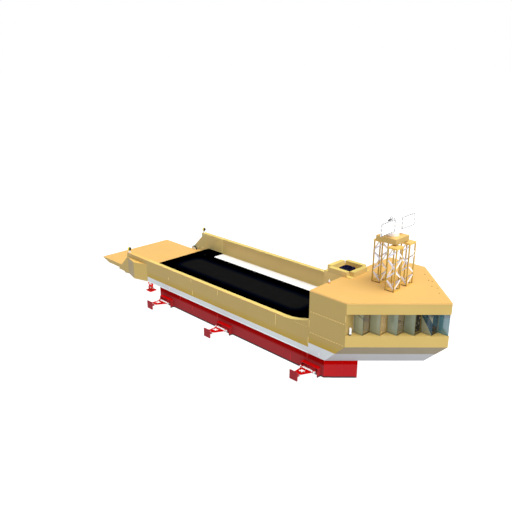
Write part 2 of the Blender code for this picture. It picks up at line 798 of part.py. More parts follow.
def house_side(side):
    """Side wall with the short return that closes the window band's first step."""
    fore = SHOULDER_X - GAP
    outer = HALF_BEAM
    inner = HALF_BEAM - WALL
    end = HALF_BEAM - STEP
    outline = (
        (HOUSE_REAR_X, outer),
        (fore, outer),
        (fore, end),
        (fore - WALL, end),
        (fore - WALL, inner),
        (HOUSE_REAR_X, inner),
    )
    return prism([(x, side * y) for x, y in outline], "xy", FLOOR_Z + GAP, ROOF_UNDER_Z)


def make_house_rear():
    """Rear wall with a doorway, three windows and the lugs that carry the door."""
    edge = HALF_BEAM - WALL - GAP
    wall_x = (HOUSE_REAR_X, HOUSE_REAR_X + WALL)
    through = (HOUSE_REAR_X - THROUGH, HOUSE_REAR_X + WALL + THROUGH)
    wall = box(wall_x, (-edge, edge), (FLOOR_Z + GAP, ROOF_UNDER_Z))
    openings = [box(through, DOOR_Y, (FLOOR_Z - THROUGH, DOOR_TOP_Z))]
    openings += [box(through, window, REAR_WINDOW_Z) for window in REAR_WINDOWS_Y]
    wall = cut(wall, *openings)
    for z in HINGE_LEVELS:
        wall = fuse(wall, box(LUG_X, LUG_Y, (z - LUG_HEIGHT, z)))
    part("house_rear", wall, yellow())


def make_door():
    """Hinged door, shaped about a vertical hinge line outside the rear wall."""
    hinge = (HOUSE_REAR_X - HINGE_OUT, DOOR_Y[0] - HINGE_SIDE)
    leaf_x = tuple(HINGE_OUT + depth for depth in LEAF_DEPTH)
    leaf_y = (DOOR_Y[0] + DOOR_CLEAR - hinge[1], DOOR_Y[1] - DOOR_CLEAR - hinge[1])
    door = box(leaf_x, leaf_y, (FLOOR_Z + DOOR_CLEAR, DOOR_TOP_Z - DOOR_CLEAR))
    window_x = (leaf_x[0] - THROUGH, leaf_x[1] + THROUGH)
    door = cut(door, box(window_x, (leaf_y[0] + LEAF_FRAME, leaf_y[1] - LEAF_FRAME), LEAF_WINDOW_Z))
    strap_end = leaf_y[0] + STRAP_LENGTH
    for z in HINGE_LEVELS:
        knuckle = rod("xy", (0.0, 0.0), KNUCKLE_R, z + GAP, z + KNUCKLE_LENGTH)
        strap_z = (z + STRAP_INSET, z + KNUCKLE_LENGTH - STRAP_INSET)
        strap = box((-STRAP_HALF, STRAP_HALF), (0.0, strap_end), strap_z)
        foot = box((-STRAP_HALF / 2, leaf_x[0] + SINK), (leaf_y[0] + SINK, strap_end - SINK), strap_z)
        door = fuse(door, knuckle, strap, foot)
    part("rear_door", door, yellow(), Matrix.Translation((*hinge, 0.0)))


def stair_line(inset):
    """Plan of the stepped window band from the starboard shoulder to the port one.

    The line steps along the V of the bow. The inset moves its faces inboard and aft.
    """
    starboard = []
    for index in range(STEPS):
        x = SHOULDER_X + index * STEP - STAIR_INSET - inset
        outer = HALF_BEAM - index * STEP - STAIR_INSET - inset
        if index > 0:
            starboard.append((x, -outer))
        if index < STEPS - 1:
            starboard.append((x, -outer + STEP))
    starboard[0] = (SHOULDER_X + GAP, starboard[0][1])
    return starboard + [(x, -y) for x, y in reversed(starboard)]


def stair_band(outer_inset, inner_inset, low, high):
    """Solid strip between two stair lines."""
    outline = stair_line(outer_inset) + stair_line(inner_inset)[::-1]
    return prism(outline, "xy", low, high)


def make_windows():
    """One stepped band of glass with a fin of glass to the stem, and the frame behind it."""
    low, high = SILL_Z + GAP, HEAD_Z - GAP
    centre_x = SHOULDER_X + (STEPS - 1) * STEP - STAIR_INSET
    fin = box((centre_x - SINK, BOW_X - STEM_BACK), (-PANE / 2, PANE / 2), (low, high))
    part("window_glass", fuse(stair_band(0.0, PANE, low, high), fin), tinted_glass())
    part("window_frame", window_frame(low, high), yellow())


def window_frame(low, high):
    """Sill rail, head rail and a post at each corner, just inside the glass."""
    face = PANE + GAP
    half = POST / 2
    rails = (face + SINK / 2, face + POST - SINK / 2)
    frame = stair_band(*rails, low, low + POST)
    posts = []
    for x, y in stair_line(face + half):
        x = max(x, SHOULDER_X + GAP + half)
        posts.append(box((x - half, x + half), (y - half, y + half), (low + SINK, high)))
    return fuse(frame, *posts, stair_band(*rails, high - POST, high - SINK))


def make_roof():
    points = ((HOUSE_REAR_X, -HALF_BEAM), (SHOULDER_X, -HALF_BEAM), (BOW_X, 0.0))
    part("roof", prism(mirrored(points), "xy", ROOF_UNDER_Z + GAP, ROOF_Z), yellow())


def make_interior():
    """Steering desk and seat that show through the windows."""
    outline = [(DESK_X + back, FLOOR_Z + rise) for back, rise in DESK]
    part("steering_desk", prism(outline, "xz", -DESK_HALF_WIDTH, DESK_HALF_WIDTH), white())
    pan_low, pan_high = (FLOOR_Z + rise for rise in SEAT_PAN)
    back_z = tuple(FLOOR_Z + rise for rise in SEAT_BACK)
    across = (-SEAT_HALF, SEAT_HALF)
    column = rod("xy", (SEAT_X, 0.0), SEAT_COLUMN_R, FLOOR_Z + GAP, pan_low + SINK)
    pan = box((SEAT_X - SEAT_HALF, SEAT_X + SEAT_HALF), across, (pan_low, pan_high))
    back = box(SEAT_BACK_X, (-SEAT_BACK_HALF, SEAT_BACK_HALF), back_z)
    part("helm_seat", fuse(column, pan, back), navy())


def make_steps():
    """Steps from the deck up to the door sill, the sill being the third."""
    fore = HOUSE_REAR_X - GAP
    first, second = DECK_Z + STEP_RISE, DECK_Z + 2 * STEP_RISE
    outline = (
        (fore, WHITE_TOP_Z + GAP),
        (fore, second),
        (fore - STEP_RUN, second),
        (fore - STEP_RUN, first),
        (fore - 2 * STEP_RUN, first),
        (fore - 2 * STEP_RUN, WHITE_TOP_Z + GAP),
    )
    part("door_steps", prism(outline, "xz", *STEPS_Y), grey())


# Engine casing


def make_casing():
    trunk_x = (CASING_X[0], HOUSE_REAR_X - GAP)
    half = CASING_HALF_WIDTH
    part("engine_casing", box(trunk_x, (-half, half), (DECK_Z + GAP, ROOF_Z)), yellow())
    part("casing_coaming", coaming(), yellow())


def coaming():
    """Four walls with open corners, standing on a low curb."""
    aft, fore = CASING_X
    half = CASING_HALF_WIDTH
    curb_top = ROOF_Z + CURB
    inner = half - COAMING_WALL
    outline = ((aft, -half), (fore, -half), (fore, half), (aft, half))
    hole = (
        (aft + COAMING_WALL, -inner),
        (fore - COAMING_WALL, -inner),
        (fore - COAMING_WALL, inner),
        (aft + COAMING_WALL, inner),
    )
    shape = ring_prism(outline, hole, "xy", ROOF_Z + GAP, curb_top)
    height = (curb_top - SINK, COAMING_TOP_Z)
    short = half - COAMING_NOTCH
    for wall_x in ((aft, aft + COAMING_WALL), (fore - COAMING_WALL, fore)):
        shape = fuse(shape, box(wall_x, (-short, short), height))
    for side in (-1, 1):
        wall_x = (aft + COAMING_NOTCH, fore - COAMING_NOTCH)
        shape = fuse(shape, box(wall_x, span(side, inner, half), height))
    return shape


def fan_rotor():
    """Rotor about its own vertical axis: a hub and its pitched blades."""
    shape = rod("xy", (0.0, 0.0), FAN_HUB_R, *FAN_HUB, 12)
    sections = []
    for radius, chord, high, low in FAN_BLADE:
        thick = FAN_BLADE_THICK
        edges = ((-chord, high), (chord, low), (chord, low + thick), (-chord, high + thick))
        sections.append([Vector((radius, y, z)) for y, z in edges])
    for index in range(FAN_BLADES):
        turn = Matrix.Rotation(index * math.tau / FAN_BLADES, 4, "Z")
        shape = fuse(shape, moved(loft(sections), turn))
    return shape


def make_fan():
    """Square cooling-fan frame with a spider that carries the rotor."""
    centre = ((CASING_X[0] + CASING_X[1]) / 2, 0.0)
    outer = []
    for a, b in circle(1.0, 24):
        scale = FAN_HALF / max(abs(a), abs(b))
        outer.append((centre[0] + a * scale, centre[1] + b * scale))
    frame = ring_prism(outer, circle(FAN_BORE_R, 24, centre), "xy", ROOF_Z + GAP, FAN_TOP_Z)
    reach = FAN_BORE_R + 2 * SINK
    half = FAN_BAR_HALF
    bars = (
        box((centre[0] - reach, centre[0] + reach), (-half, half), FAN_BAR_Z),
        box((centre[0] - half, centre[0] + half), (-reach, reach), FAN_BAR_Z),
    )
    part("fan_frame", fuse(frame, *bars), navy())
    part("fan_rotor", fan_rotor(), navy(), Matrix.Translation((*centre, ROOF_Z)))


# Towers, platform and radar


def tower():
    """Four corner legs between a base frame and a cap, with a zigzag of bars on each face."""
    half_x, half_y = TOWER_HALF_X, TOWER_HALF_Y
    base_top = ROOF_Z + TOWER_BASE
    cap_low = TOWER_TOP_Z - TOWER_CAP
    outer = rectangle(half_x + TOWER_LIP, half_y + TOWER_LIP)
    inner = rectangle(half_x - TOWER_LEG - TOWER_LIP, half_y - TOWER_LEG - TOWER_LIP)
    base = ring_prism(outer, inner, "xy", ROOF_Z + GAP, base_top)
    shape = prism(outer, "xy", cap_low, TOWER_TOP_Z)
    for a in (-1, 1):
        for b in (-1, 1):
            leg_x = span(a, half_x - TOWER_LEG, half_x)
            leg_y = span(b, half_y - TOWER_LEG, half_y)
            shape = fuse(shape, box(leg_x, leg_y, (base_top - SINK, cap_low + SINK)))
    shape = fuse(shape, base)
    pitch = (cap_low - base_top) / BRACES_UP
    for face in range(4):
        turn = Matrix.Rotation(face * math.pi / 2, 4, "Z")
        wide, away = (half_y, half_x) if face % 2 else (half_x, half_y)
        for index in range(BRACES_UP):
            lean = 1 if (index + face) % 2 else -1
            low = base_top + index * pitch
            brace = tower_brace(wide, away, lean, low + BRACE_END, low + pitch - BRACE_END)
            shape = fuse(shape, moved(brace, turn))
    return shape


def tower_brace(wide, away, lean, low, high):
    """Flat sloping bar in the middle of a tower's face, run into the legs at both ends."""
    reach = wide - TOWER_LEG + SINK
    middle = away - TOWER_LEG / 2
    outline = (
        (-lean * reach, low),
        (-lean * reach, low + BRACE_RISE),
        (lean * reach, high),
        (lean * reach, high - BRACE_RISE),
    )
    return prism(outline, "xz", -middle - BRACE_THICK / 2, -middle + BRACE_THICK / 2)


def make_mast():
    shape = tower()
    for name, x, y in TOWERS:
        part(f"mast_tower_{name}", shape.copy(), yellow(), Matrix.Translation((x, y, 0.0)))
    half = PLATFORM_HALF
    platform = box((RADAR_X - half, RADAR_X + half), (-half, half), PLATFORM_Z)
    for _, x, y in TOWERS:
        middle = x + (PAD_INWARD if x < RADAR_X else -PAD_INWARD)
        pad_x = (middle - PAD_HALF, middle + PAD_HALF)
        pad_y = (y * PAD_Y_SHARE - PAD_HALF, y * PAD_Y_SHARE + PAD_HALF)
        platform = fuse(platform, box(pad_x, pad_y, (TOWER_TOP_Z + GAP, PLATFORM_Z[0] + SINK)))
    part("radar_platform", platform, yellow())


def make_radar():
    """Fixed round base, and above it the housing with two flat panels that turn."""
    profile = [(radius, PLATFORM_Z[1] + rise) for radius, rise in RADAR_BASE]
    part("radar_base", turned(profile, (RADAR_X, 0.0), 20), white())
    low, shoulder = HOUSING_Z
    plate = rod("xy", (0.0, 0.0), RADAR_PLATE_R, RADAR_TURN_Z + GAP, low + SINK, 20)
    arch = [(-HOUSING_HALF, low), (-HOUSING_HALF, shoulder)]
    for index in range(1, 8):
        turn = math.pi - index * math.pi / 8
        arch.append((HOUSING_HALF * math.cos(turn), shoulder + HOUSING_ARCH * math.sin(turn)))
    arch += [(HOUSING_HALF, shoulder), (HOUSING_HALF, low)]
    antenna = fuse(plate, prism(arch, "yz", *HOUSING_X))
    antenna = fuse(antenna, box(BEAM_X, (-BEAM_END_Y, BEAM_END_Y), BEAM_Z))
    for side in (-1, 1):
        antenna = fuse(antenna, box(RADAR_PANEL_X, span(side, *RADAR_PANEL_Y), RADAR_PANEL_Z))
    part("radar_antenna", antenna, white(), Matrix.Translation((RADAR_X, 0.0, 0.0)))


# Lamps


def lamp(profile, place, side, foot_z):
    """Turned lamp on one side of the barge, standing at foot_z."""
    raised = [(radius, foot_z + rise) for radius, rise in profile]
    return turned(raised, (place[0], side * place[1]), 12)


def make_lamps():
    for side, side_name in ((-1, "starboard"), (1, "port")):
        part(f"stern_lamp_{side_name}", lamp(STERN_LAMP, STERN_LAMP_PLACE, side, GUNWALE_Z), white())
        part(f"side_lantern_{side_name}", lamp(LANTERN, LANTERN_PLACE, side, SILL_Z), white())


def main():
    clear_scene()
    make_hulls()
    make_deck_structure()
    make_sides()
    make_apron()
    make_ramp()
    make_legs()
    make_propulsion()
    make_house_front()
    part("house_side_starboard", house_side(-1), yellow())
    part("house_side_port", house_side(1), yellow())
    make_house_rear()
    make_door()
    make_windows()
    make_roof()
    make_interior()
    make_steps()
    make_casing()
    make_fan()
    make_mast()
    make_radar()
    make_lamps()


main()
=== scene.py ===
"""River barge: a flat-bottomed twin-hull work barge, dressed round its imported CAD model."""

import contextlib
import math

import bmesh
import bpy
from mathutils import Matrix, Vector


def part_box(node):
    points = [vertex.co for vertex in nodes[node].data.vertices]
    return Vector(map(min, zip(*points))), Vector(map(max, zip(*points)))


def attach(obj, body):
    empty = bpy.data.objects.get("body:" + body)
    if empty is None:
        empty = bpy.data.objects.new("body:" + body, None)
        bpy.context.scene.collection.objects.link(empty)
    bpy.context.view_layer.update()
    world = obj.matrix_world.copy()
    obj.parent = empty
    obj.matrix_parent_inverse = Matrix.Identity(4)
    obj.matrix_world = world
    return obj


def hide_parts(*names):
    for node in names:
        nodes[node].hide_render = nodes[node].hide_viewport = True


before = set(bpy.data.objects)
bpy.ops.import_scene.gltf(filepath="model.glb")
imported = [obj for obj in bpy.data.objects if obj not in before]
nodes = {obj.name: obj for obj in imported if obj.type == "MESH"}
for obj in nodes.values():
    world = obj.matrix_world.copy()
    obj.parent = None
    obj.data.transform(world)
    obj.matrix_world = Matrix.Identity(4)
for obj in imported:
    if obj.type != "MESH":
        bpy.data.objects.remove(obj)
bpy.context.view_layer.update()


# Camera
# It looks down on the starboard bow from the height of a quay crane, as the photograph does.


def set_up(data):
    """Put a camera or a lamp in the scene."""
    thing = bpy.data.objects.new(data.name, data)
    bpy.context.scene.collection.objects.link(thing)
    return thing


camera_data = bpy.data.cameras.new("quay_camera")
camera_data.lens = 41.98
camera_data.sensor_width = 36.0
camera_data.clip_end = 2000.0
camera = set_up(camera_data)
camera.location = (28.48, -28.14, 17.96)
camera.rotation_euler = (math.radians(70.91), 0.0, math.radians(45.22))
bpy.context.scene.camera = camera


# Hulls
# Two box hulls of welded steel plate with flat skids, pointed at the bow. They are shot-blasted,
# primed and rolled with satin red bottom paint, so plate seams show through as faint ridges.


def card(red, green, blue):
    """Colour from the 0 to 255 values of a paint card."""
    linear = []
    for value in (red, green, blue):
        share = value / 255.0
        linear.append(share / 12.92 if share <= 0.04045 else ((share + 0.055) / 1.055) ** 2.4)
    return (*linear, 1.0)


def tint(colour, amount):
    """The same colour, lighter or darker."""
    return (*[min(1.0, channel * amount) for channel in colour[:3]], 1.0)


def maths(operation):
    """A way to write one kind of sum on a Wire: it becomes a Math node."""

    def written(wire, value=0.0):
        return wire.finish.node("Math", {"operation": operation}, {0: wire, 1: value})

    return written


class Wire:
    """A value on its way through a finish."""

    def __init__(self, finish, socket):
        self.finish = finish
        self.socket = socket

    __add__ = __radd__ = maths("ADD")
    __sub__ = maths("SUBTRACT")
    __mul__ = __rmul__ = maths("MULTIPLY")
    __truediv__ = maths("DIVIDE")
    __pow__ = maths("POWER")
    __abs__ = maths("ABSOLUTE")
    __gt__ = maths("GREATER_THAN")
    __lt__ = maths("LESS_THAN")
    __or__ = maths("MAXIMUM")
    __and__ = maths("MINIMUM")
    pingpong = maths("PINGPONG")

    def __rsub__(self, value):
        return self * -1.0 + value

    def within(self, low, high):
        return (self > low) & (self < high)


class Finish:
    """One finish of the barge: its shader, and the nodes that vary it over the surface."""

    def __init__(self, name, roughness=0.5, metallic=0.0):
        self.material = bpy.data.materials.new(name)
        self.material.use_nodes = True
        self.tree = self.material.node_tree
        self.shader = self.tree.nodes["Principled BSDF"]
        self.set("Roughness", roughness)
        self.set("Metallic", metallic)
        self.place = self.node("TexCoord", output="Object")
        split = self.node("SeparateXYZ", None, {0: self.place}).socket.node
        self.x, self.y, self.z = (Wire(self, output) for output in split.outputs)

    def facing(self, axis):
        """How far the surface faces along one axis, from -1 to 1."""
        normal = self.node("NewGeometry", output="True Normal")
        return self.node("SeparateXYZ", None, {0: normal}, axis)

    def node(self, kind, settings=None, inputs=None, output=0):
        """Add a shader node with its settings and the values or links of its sockets."""
        made = self.tree.nodes.new("ShaderNode" + kind)
        for key, value in (settings or {}).items():
            setattr(made, key, value)
        for key, value in (inputs or {}).items():
            if isinstance(value, Wire):
                self.tree.links.new(value.socket, made.inputs[key])
            else:
                made.inputs[key].default_value = value
        return Wire(self, made.outputs[output])

    def feed(self, socket, value):
        self.tree.links.new(value.socket, self.shader.inputs[socket])

    def set(self, socket, value):
        self.shader.inputs[socket].default_value = value

    def mix(self, share, first, second):
        inputs = {0: share, 6: first, 7: second}
        return self.node("Mix", {"data_type": "RGBA"}, inputs, 2)

    def colour(self, share, first, second):
        """Colour of the surface, from first where the share is 0 to second where it is 1."""
        self.feed("Base Color", self.mix(share, first, second))

    def clamp(self, value):
        return self.node("Clamp", None, {0: value})

    def noise(self, scale, detail=2.0, stretch=(1.0, 1.0, 1.0)):
        inputs = {0: self.place, 1: stretch}
        where = self.node("VectorMath", {"operation": "MULTIPLY"}, inputs)
        inputs = {"Vector": where, "Scale": scale, "Detail": detail}
        return self.node("TexNoise", None, inputs)

    def cells(self, scale):
        return self.node("TexVoronoi", None, {"Vector": self.place, "Scale": scale})

    def between(self, value, low, high):
        """0 below low, 1 above high and an even slope between them."""
        return self.clamp((value - low) / (high - low))

    def falling(self, value, low, high):
        """1 below low, 0 above high and an even slope between them."""
        return 1.0 - self.between(value, low, high)

    def line(self, axis, at, width):
        """1 on the plane where the axis is at this value, 0 beyond the width."""
        return self.clamp(1.0 - abs(axis - at) / width)

    def lines(self, axis, first, pitch, width):
        """The same for a row of planes."""
        return self.clamp(1.0 - (axis - first).pingpong(pitch / 2) / width)

    def bump(self, height, distance):
        inputs = {"Height": height, "Distance": distance, "Strength": 1.0}
        self.feed("Normal", self.node("Bump", None, inputs))


def plate_paint(name, colour, *patches, seams=(), rows=(), roughness=0.5, gloss=0.3):
    """Satin paint on welded plate.

    patches are functions of the finish that give a (mask, colour) pair for a part painted another
    colour, seams is the (first, pitch) of upright welds and rows are the heights of level ones.
    """
    finish = Finish(name, roughness)
    finish.set("Specular IOR Level", gloss)
    base = finish.mix(finish.noise(0.45, 4.0), tint(colour, 0.95), tint(colour, 1.05))
    for patch in patches:
        mask, patch_colour = patch(finish)
        base = finish.mix(mask, base, patch_colour)
    scuffs = finish.between(finish.noise(9.0, 5.0), 0.66, 0.74)
    base = finish.mix(scuffs * 0.12, base, tint(colour, 0.70))
    welds = [finish.line(finish.z, height, 0.022) for height in rows]
    if seams:
        welds.append(finish.lines(finish.x, *seams, 0.028))
    grain = finish.noise(55.0, 3.0) * 0.12
    if welds:
        weld = finish.clamp(sum(welds))
        base = finish.mix(weld * 0.20, base, tint(colour, 1.30))
        grain = weld + grain
    finish.feed("Base Color", base)
    finish.feed("Roughness", finish.noise(1.7, 3.0) * 0.18 + (roughness - 0.09))
    finish.bump(grain, 0.004)
    return finish


def paint_nodes(finish, *names):
    """Give CAD nodes their finish."""
    for name in names:
        for place in nodes[name].material_slots:
            place.material = finish.material


def hold(*pieces):
    """Select these pieces and nothing else, with the first one active."""
    bpy.ops.object.select_all(action="DESELECT")
    for piece in pieces:
        piece.select_set(True)
    bpy.context.view_layer.objects.active = pieces[0]


@contextlib.contextmanager
def editing(piece, kind, test):
    """Edit mode on one piece, with the faces or edges that pass the test selected."""
    hold(piece)
    bpy.ops.object.mode_set(mode="EDIT")
    bpy.ops.mesh.select_mode(type=kind)
    bpy.ops.mesh.select_all(action="DESELECT")
    shape = bmesh.from_edit_mesh(piece.data)
    for item in {"FACE": shape.faces, "EDGE": shape.edges}[kind]:
        if test(item):
            item.select_set(True)
    bmesh.update_edit_mesh(piece.data)
    yield
    bpy.ops.object.mode_set(mode="OBJECT")


def rounded(piece, test, offset, segments):
    """Bevel the edges that pass the test."""
    with editing(piece, "EDGE", test):
        bpy.ops.mesh.bevel(offset=offset, segments=segments)
    return piece


def looking(way):
    """Test for the faces that look one way."""
    return lambda face: face.normal.dot(way) > 0.9


def push(x=0.0, y=0.0, z=0.0):
    """Extrude the selected faces by a step."""
    bpy.ops.mesh.extrude_region_move(TRANSFORM_OT_translate={"value": (x, y, z)})


def pressed(piece, way, margin, step):
    """Inset the faces that look one way, and press them out by a step, or in."""
    with editing(piece, "FACE", looking(way)):
        bpy.ops.mesh.inset(thickness=margin)
        push(*[share * step for share in way])
    return piece


def named(name):
    """Give the active piece and its mesh a name."""
    piece = bpy.context.object
    piece.name = piece.data.name = name
    return piece


def start(name, primitive, **size):
    """Add a primitive with nothing else selected, and put its place in its mesh."""
    bpy.ops.object.select_all(action="DESELECT")
    primitive(**size)
    bpy.ops.object.transform_apply(location=True, rotation=True, scale=True)
    return named(name)


def block(name, low, high):
    """Cube primitive between two corners."""
    middle = [(a + b) / 2 for a, b in zip(low, high)]
    size = [b - a for a, b in zip(low, high)]
    add = bpy.ops.mesh.primitive_cube_add
    return start(name, add, size=1.0, location=middle, scale=size)


def soften(piece, width, segments=2):
    """Round off the piece's sharp edges."""
    rounding = piece.modifiers.new("rounding", "BEVEL")
    rounding.width = width
    rounding.segments = segments
    rounding.limit_method = "ANGLE"
    hold(piece)
    bpy.ops.object.modifier_apply(modifier="rounding")
    return piece


def joined(pieces, name):
    """Weld pieces of one kind into a single piece."""
    hold(*pieces)
    bpy.ops.object.join()
    return named(name)


CREASE = math.radians(38)  # edges bent less than this are shaded smooth


def fit(piece, finish, body="barge"):
    """Shade and paint a finished piece, and fix it to the body that carries it."""
    hold(piece)
    bpy.ops.object.shade_smooth_by_angle(angle=CREASE)
    piece.data.materials.clear()
    piece.data.materials.append(finish.material)
    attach(piece, body)


def both_sides(name, build, finish):
    """Build the same pieces to starboard and to port, and join each side's as one."""
    for side, side_name in SIDES:
        fit(joined(build(side), f"{name}_{side_name}"), finish)


RED = card(155, 51, 54)
# deep dark red of painted shade along the top of the hull sides
SHADED_RED_TOP = card(144, 0, 0)
# brighter red of painted light on the tops of the bracket hoods
LIT_HOOD_RED = card(206, 8, 8)
SIDES = ((-1.0, "starboard"), (1.0, "port"))
SIDE_FACE = 4.0
TUNNEL_SIDE = 1.28
ANODE_X = (-5.2, -1.6, 2.0, 5.6)


def skid_rub(finish):
    """Bare dark steel where the skids stand on the slip."""
    worn = finish.noise(3.0, 5.0) * 0.03
    return finish.falling(finish.z - worn, 0.06, 0.10) & (finish.x < 11.0), card(58, 56, 58)


def shaded_top_strake(finish):
    """The upper third, under the white band's overhang, is painted a deep dark red: painted shade.
    """
    return finish.between(finish.z, 0.72, 0.88), SHADED_RED_TOP


def forefoot(finish):
    """Forward-looking faces of the forefoot: a lighter red of painted light, with deep red painted
    shade at the top.
    """
    lit_forefoot_red = finish.mix(finish.between(finish.z, 0.84, 0.92), card(184, 38, 42), card(180, 0, 0))
    return finish.facing(0) > 0.4, lit_forefoot_red


def leg_brackets(finish):
    """The brackets of the legs stand out from the side; their hoods' tops wear the legs' brighter
    red: painted light.
    """
    hood = finish.mix(finish.facing(2) > 0.4, card(164, 44, 48), LIT_HOOD_RED)
    return abs(finish.y) > SIDE_FACE + 0.002, hood


hull_patches = (shaded_top_strake, forefoot, leg_brackets, skid_rub)
hull_paint = plate_paint("red_bottom_paint", RED, *hull_patches, seams=(-6.03, 2.35), gloss=0.01)
paint_nodes(hull_paint, "hull_starboard", "hull_port")


def on_crest(y):
    """Test for the edges that lie at one distance abreast."""
    return lambda edge: all(abs(corner.co.y - y) < 1e-5 for corner in edge.verts)


def weld_run(x, face, outward, low, high, width=0.035, proud=0.012):
    """Upright half-round weld bead on a side, from one height to another."""
    crest = face + outward * proud
    near, far = sorted((face, crest))
    bead = block("weld_run", (x - width / 2, near, low), (x + width / 2, far, high))
    return rounded(bead, on_crest(crest), width / 3, 3)


HULL_WELDS = (
    # x, bottom, top
    (-3.60, 0.92, 1.12),
    (-2.26, 0.50, 0.76),
    (0.43, 0.66, 1.02),
    (7.10, 0.14, 0.60),
    (8.43, 0.74, 1.13),
)


def hull_welds(side):
    """Welds where plates of an outer side meet."""
    return [weld_run(x, side * SIDE_FACE, side, low, high) for x, low, high in HULL_WELDS]


# The weld beads are painted a brighter red than the plate: a painted highlight along them.
red_weld_paint = plate_paint("red_weld_paint", card(214, 26, 30), roughness=0.45)
both_sides("hull_welds", hull_welds, red_weld_paint)


def hull_anodes(side):
    """Zinc blocks with a sunk face, bolted to the tunnel side of a hull."""
    low, high = sorted((side * TUNNEL_SIDE, side * (TUNNEL_SIDE - 0.055)))
    row = []
    for x in ANODE_X:
        slab = block("slab", (x - 0.17, low, 0.44), (x + 0.17, high, 0.56))
        row.append(soften(pressed(slab, (0.0, -side, 0.0), 0.025, -0.008), 0.006, 3))
    return row


zinc = Finish("cast_zinc", 0.6, 0.6)
pits = zinc.noise(38.0, 4.0)
zinc.colour(pits, card(126, 130, 132), card(186, 190, 190))
zinc.bump(pits, 0.004)
both_sides("hull_anodes", hull_anodes, zinc)


# Folding legs
# Eight legs on hull brackets: a red arm plate with a white cross, a grey hinge pin at the bracket
# and a foot plate on its own pin. The plates are cut from 80 mm steel and painted by hand.

LEG_ROWS = (
    # name, pin x, pin y, pin z, arm length, arm tilt in degrees below level
    ("aft", -5.09, 4.42, 0.36, 1.00, -8.0),
    ("mid", 1.27, 4.42, 0.36, 1.00, -8.0),
    ("fore", 8.82, 4.42, 0.36, 1.00, -8.0),
    ("stern", -8.28, 3.30, 1.03, 0.755, 90.0),
)
# The legs' red in lit and shaded copies: brighter on the arm plates, painted light, and darker on
# the upright foot plates, painted shade. The stern leg, under the deck's overhang, is painted
# brighter all over: painted light.
LIT_ARM_RED = card(192, 0, 0)
SHADED_FOOT_RED = card(152, 42, 50)
BRIGHTENED_STERN_RED = card(255, 24, 28)
SLEEVE_WHITE = card(244, 248, 248)
# bright white of the legs' crosses and the lanterns, and painted light on the walkway's top
BRIGHT_WHITE = card(246, 247, 248)
PIN_GREY = card(196, 206, 208)
CROSS_HEIGHT = 0.0325
CROSS_REACH = 0.18
SLEEVE_R = 0.08
FOOT_PIN_R = 0.045
PIN_HEAD_X = 0.560


def disc(first, second, middle, radius):
    """1 inside a round bar, across two axes."""
    return (first - middle[0]) ** 2.0 + (second - middle[1]) ** 2.0 < radius**2


def steel_finish(name, colour, roughness=0.35):
    """Turned or drawn steel with fine scratches and a little grease."""
    finish = Finish(name, roughness, 0.7)
    scratch = finish.noise(26.0, 5.0, (0.15, 1.0, 1.0))
    grease = finish.between(finish.noise(7.0, 3.0), 0.55, 0.70)
    tone = finish.mix(scratch, tint(colour, 0.82), tint(colour, 1.12))
    finish.colour(grease * 0.35, tone, tint(colour, 0.40))
    finish.feed("Roughness", scratch * 0.25 + (roughness - 0.10))
    finish.bump(scratch, 0.002)
    return finish


leg_steel = steel_finish("leg_pin_steel", PIN_GREY)


def round_bar(name, middle, radius, length, along="z", sides=16):
    """Cylinder primitive along one axis."""
    size = {"vertices": sides, "radius": radius, "depth": length, "location": middle}
    quarter = math.pi / 2
    turn = {"x": (0.0, quarter, 0.0), "y": (quarter, 0.0, 0.0), "z": (0.0, 0.0, 0.0)}[along]
    return start(name, bpy.ops.mesh.primitive_cylinder_add, rotation=turn, **size)


def folding_leg(side, side_name, station, pin_x, pin_y, pin_z, length, degrees):
    """Paint an arm and its foot, and put a hexagonal head on each end of the arm's pin."""
    label = f"{side_name}_{station}"
    tilt = math.radians(degrees)
    pin = (side * pin_y, pin_z)
    foot_pin = (side * (pin_y + length * math.cos(tilt)), pin_z - length * math.sin(tilt))

    def cross(finish):
        out, up = (finish.y - pin[0]) * side, finish.z - pin_z
        reach = out * math.cos(tilt) - up * math.sin(tilt)
        height = out * math.sin(tilt) + up * math.cos(tilt)
        return (abs(reach - length / 2) < CROSS_REACH) & (height > CROSS_HEIGHT), BRIGHT_WHITE

    def sleeve(finish):
        return disc(finish.y, finish.z, pin, SLEEVE_R + 0.004), SLEEVE_WHITE

    def bare_pin(finish):
        return disc(finish.y, finish.z, foot_pin, FOOT_PIN_R + 0.004), PIN_GREY

    # lit and shaded reds for arm and foot: painted light and painted shade; the stern leg's
    # brighter red is painted light against its shade
    arm_red, foot_red = (BRIGHTENED_STERN_RED, BRIGHTENED_STERN_RED) if station == "stern" else (LIT_ARM_RED, SHADED_FOOT_RED)
    arm = plate_paint(f"leg_arm_paint_{label}", arm_red, cross, sleeve, roughness=0.4, gloss=0.05)
    foot = plate_paint(f"leg_foot_paint_{label}", foot_red, bare_pin, roughness=0.45, gloss=0.05)
    paint_nodes(arm, f"leg_arm_{label}")
    paint_nodes(foot, f"leg_foot_{label}")
    heads = []
    for end in (-1.0, 1.0):
        head = round_bar("head", (pin_x + end * PIN_HEAD_X, *pin), 0.066, 0.030, "x", 6)
        heads.append(soften(pressed(head, (end, 0.0, 0.0), 0.014, 0.012), 0.004))
    heads = joined(heads, f"leg_pin_heads_{label}")
    fit(heads, leg_steel, f"arm_{label}")


for leg_row in LEG_ROWS:
    for side, side_name in SIDES:
        folding_leg(side, side_name, *leg_row)


# Propellers and rudders
# Cast bronze four-bladed propellers behind each hull, with painted plate rudders on steel stocks.

AFT = (-1.0, 0.0, 0.0)
BRONZE = card(176, 138, 74)
bronze = Finish("cast_bronze", 0.30, 0.9)
cast = bronze.noise(6.0, 5.0)
bronze.colour(cast, tint(BRONZE, 0.62), tint(BRONZE, 1.15))
bronze.feed("Roughness", cast * 0.3 + 0.16)
bronze.bump(bronze.noise(40.0, 2.0), 0.002)
paint_nodes(bronze, "propeller_starboard", "propeller_port")
paint_nodes(plate_paint("rudder_paint", RED, rows=(0.36, 0.80)), "rudder_starboard", "rudder_port")


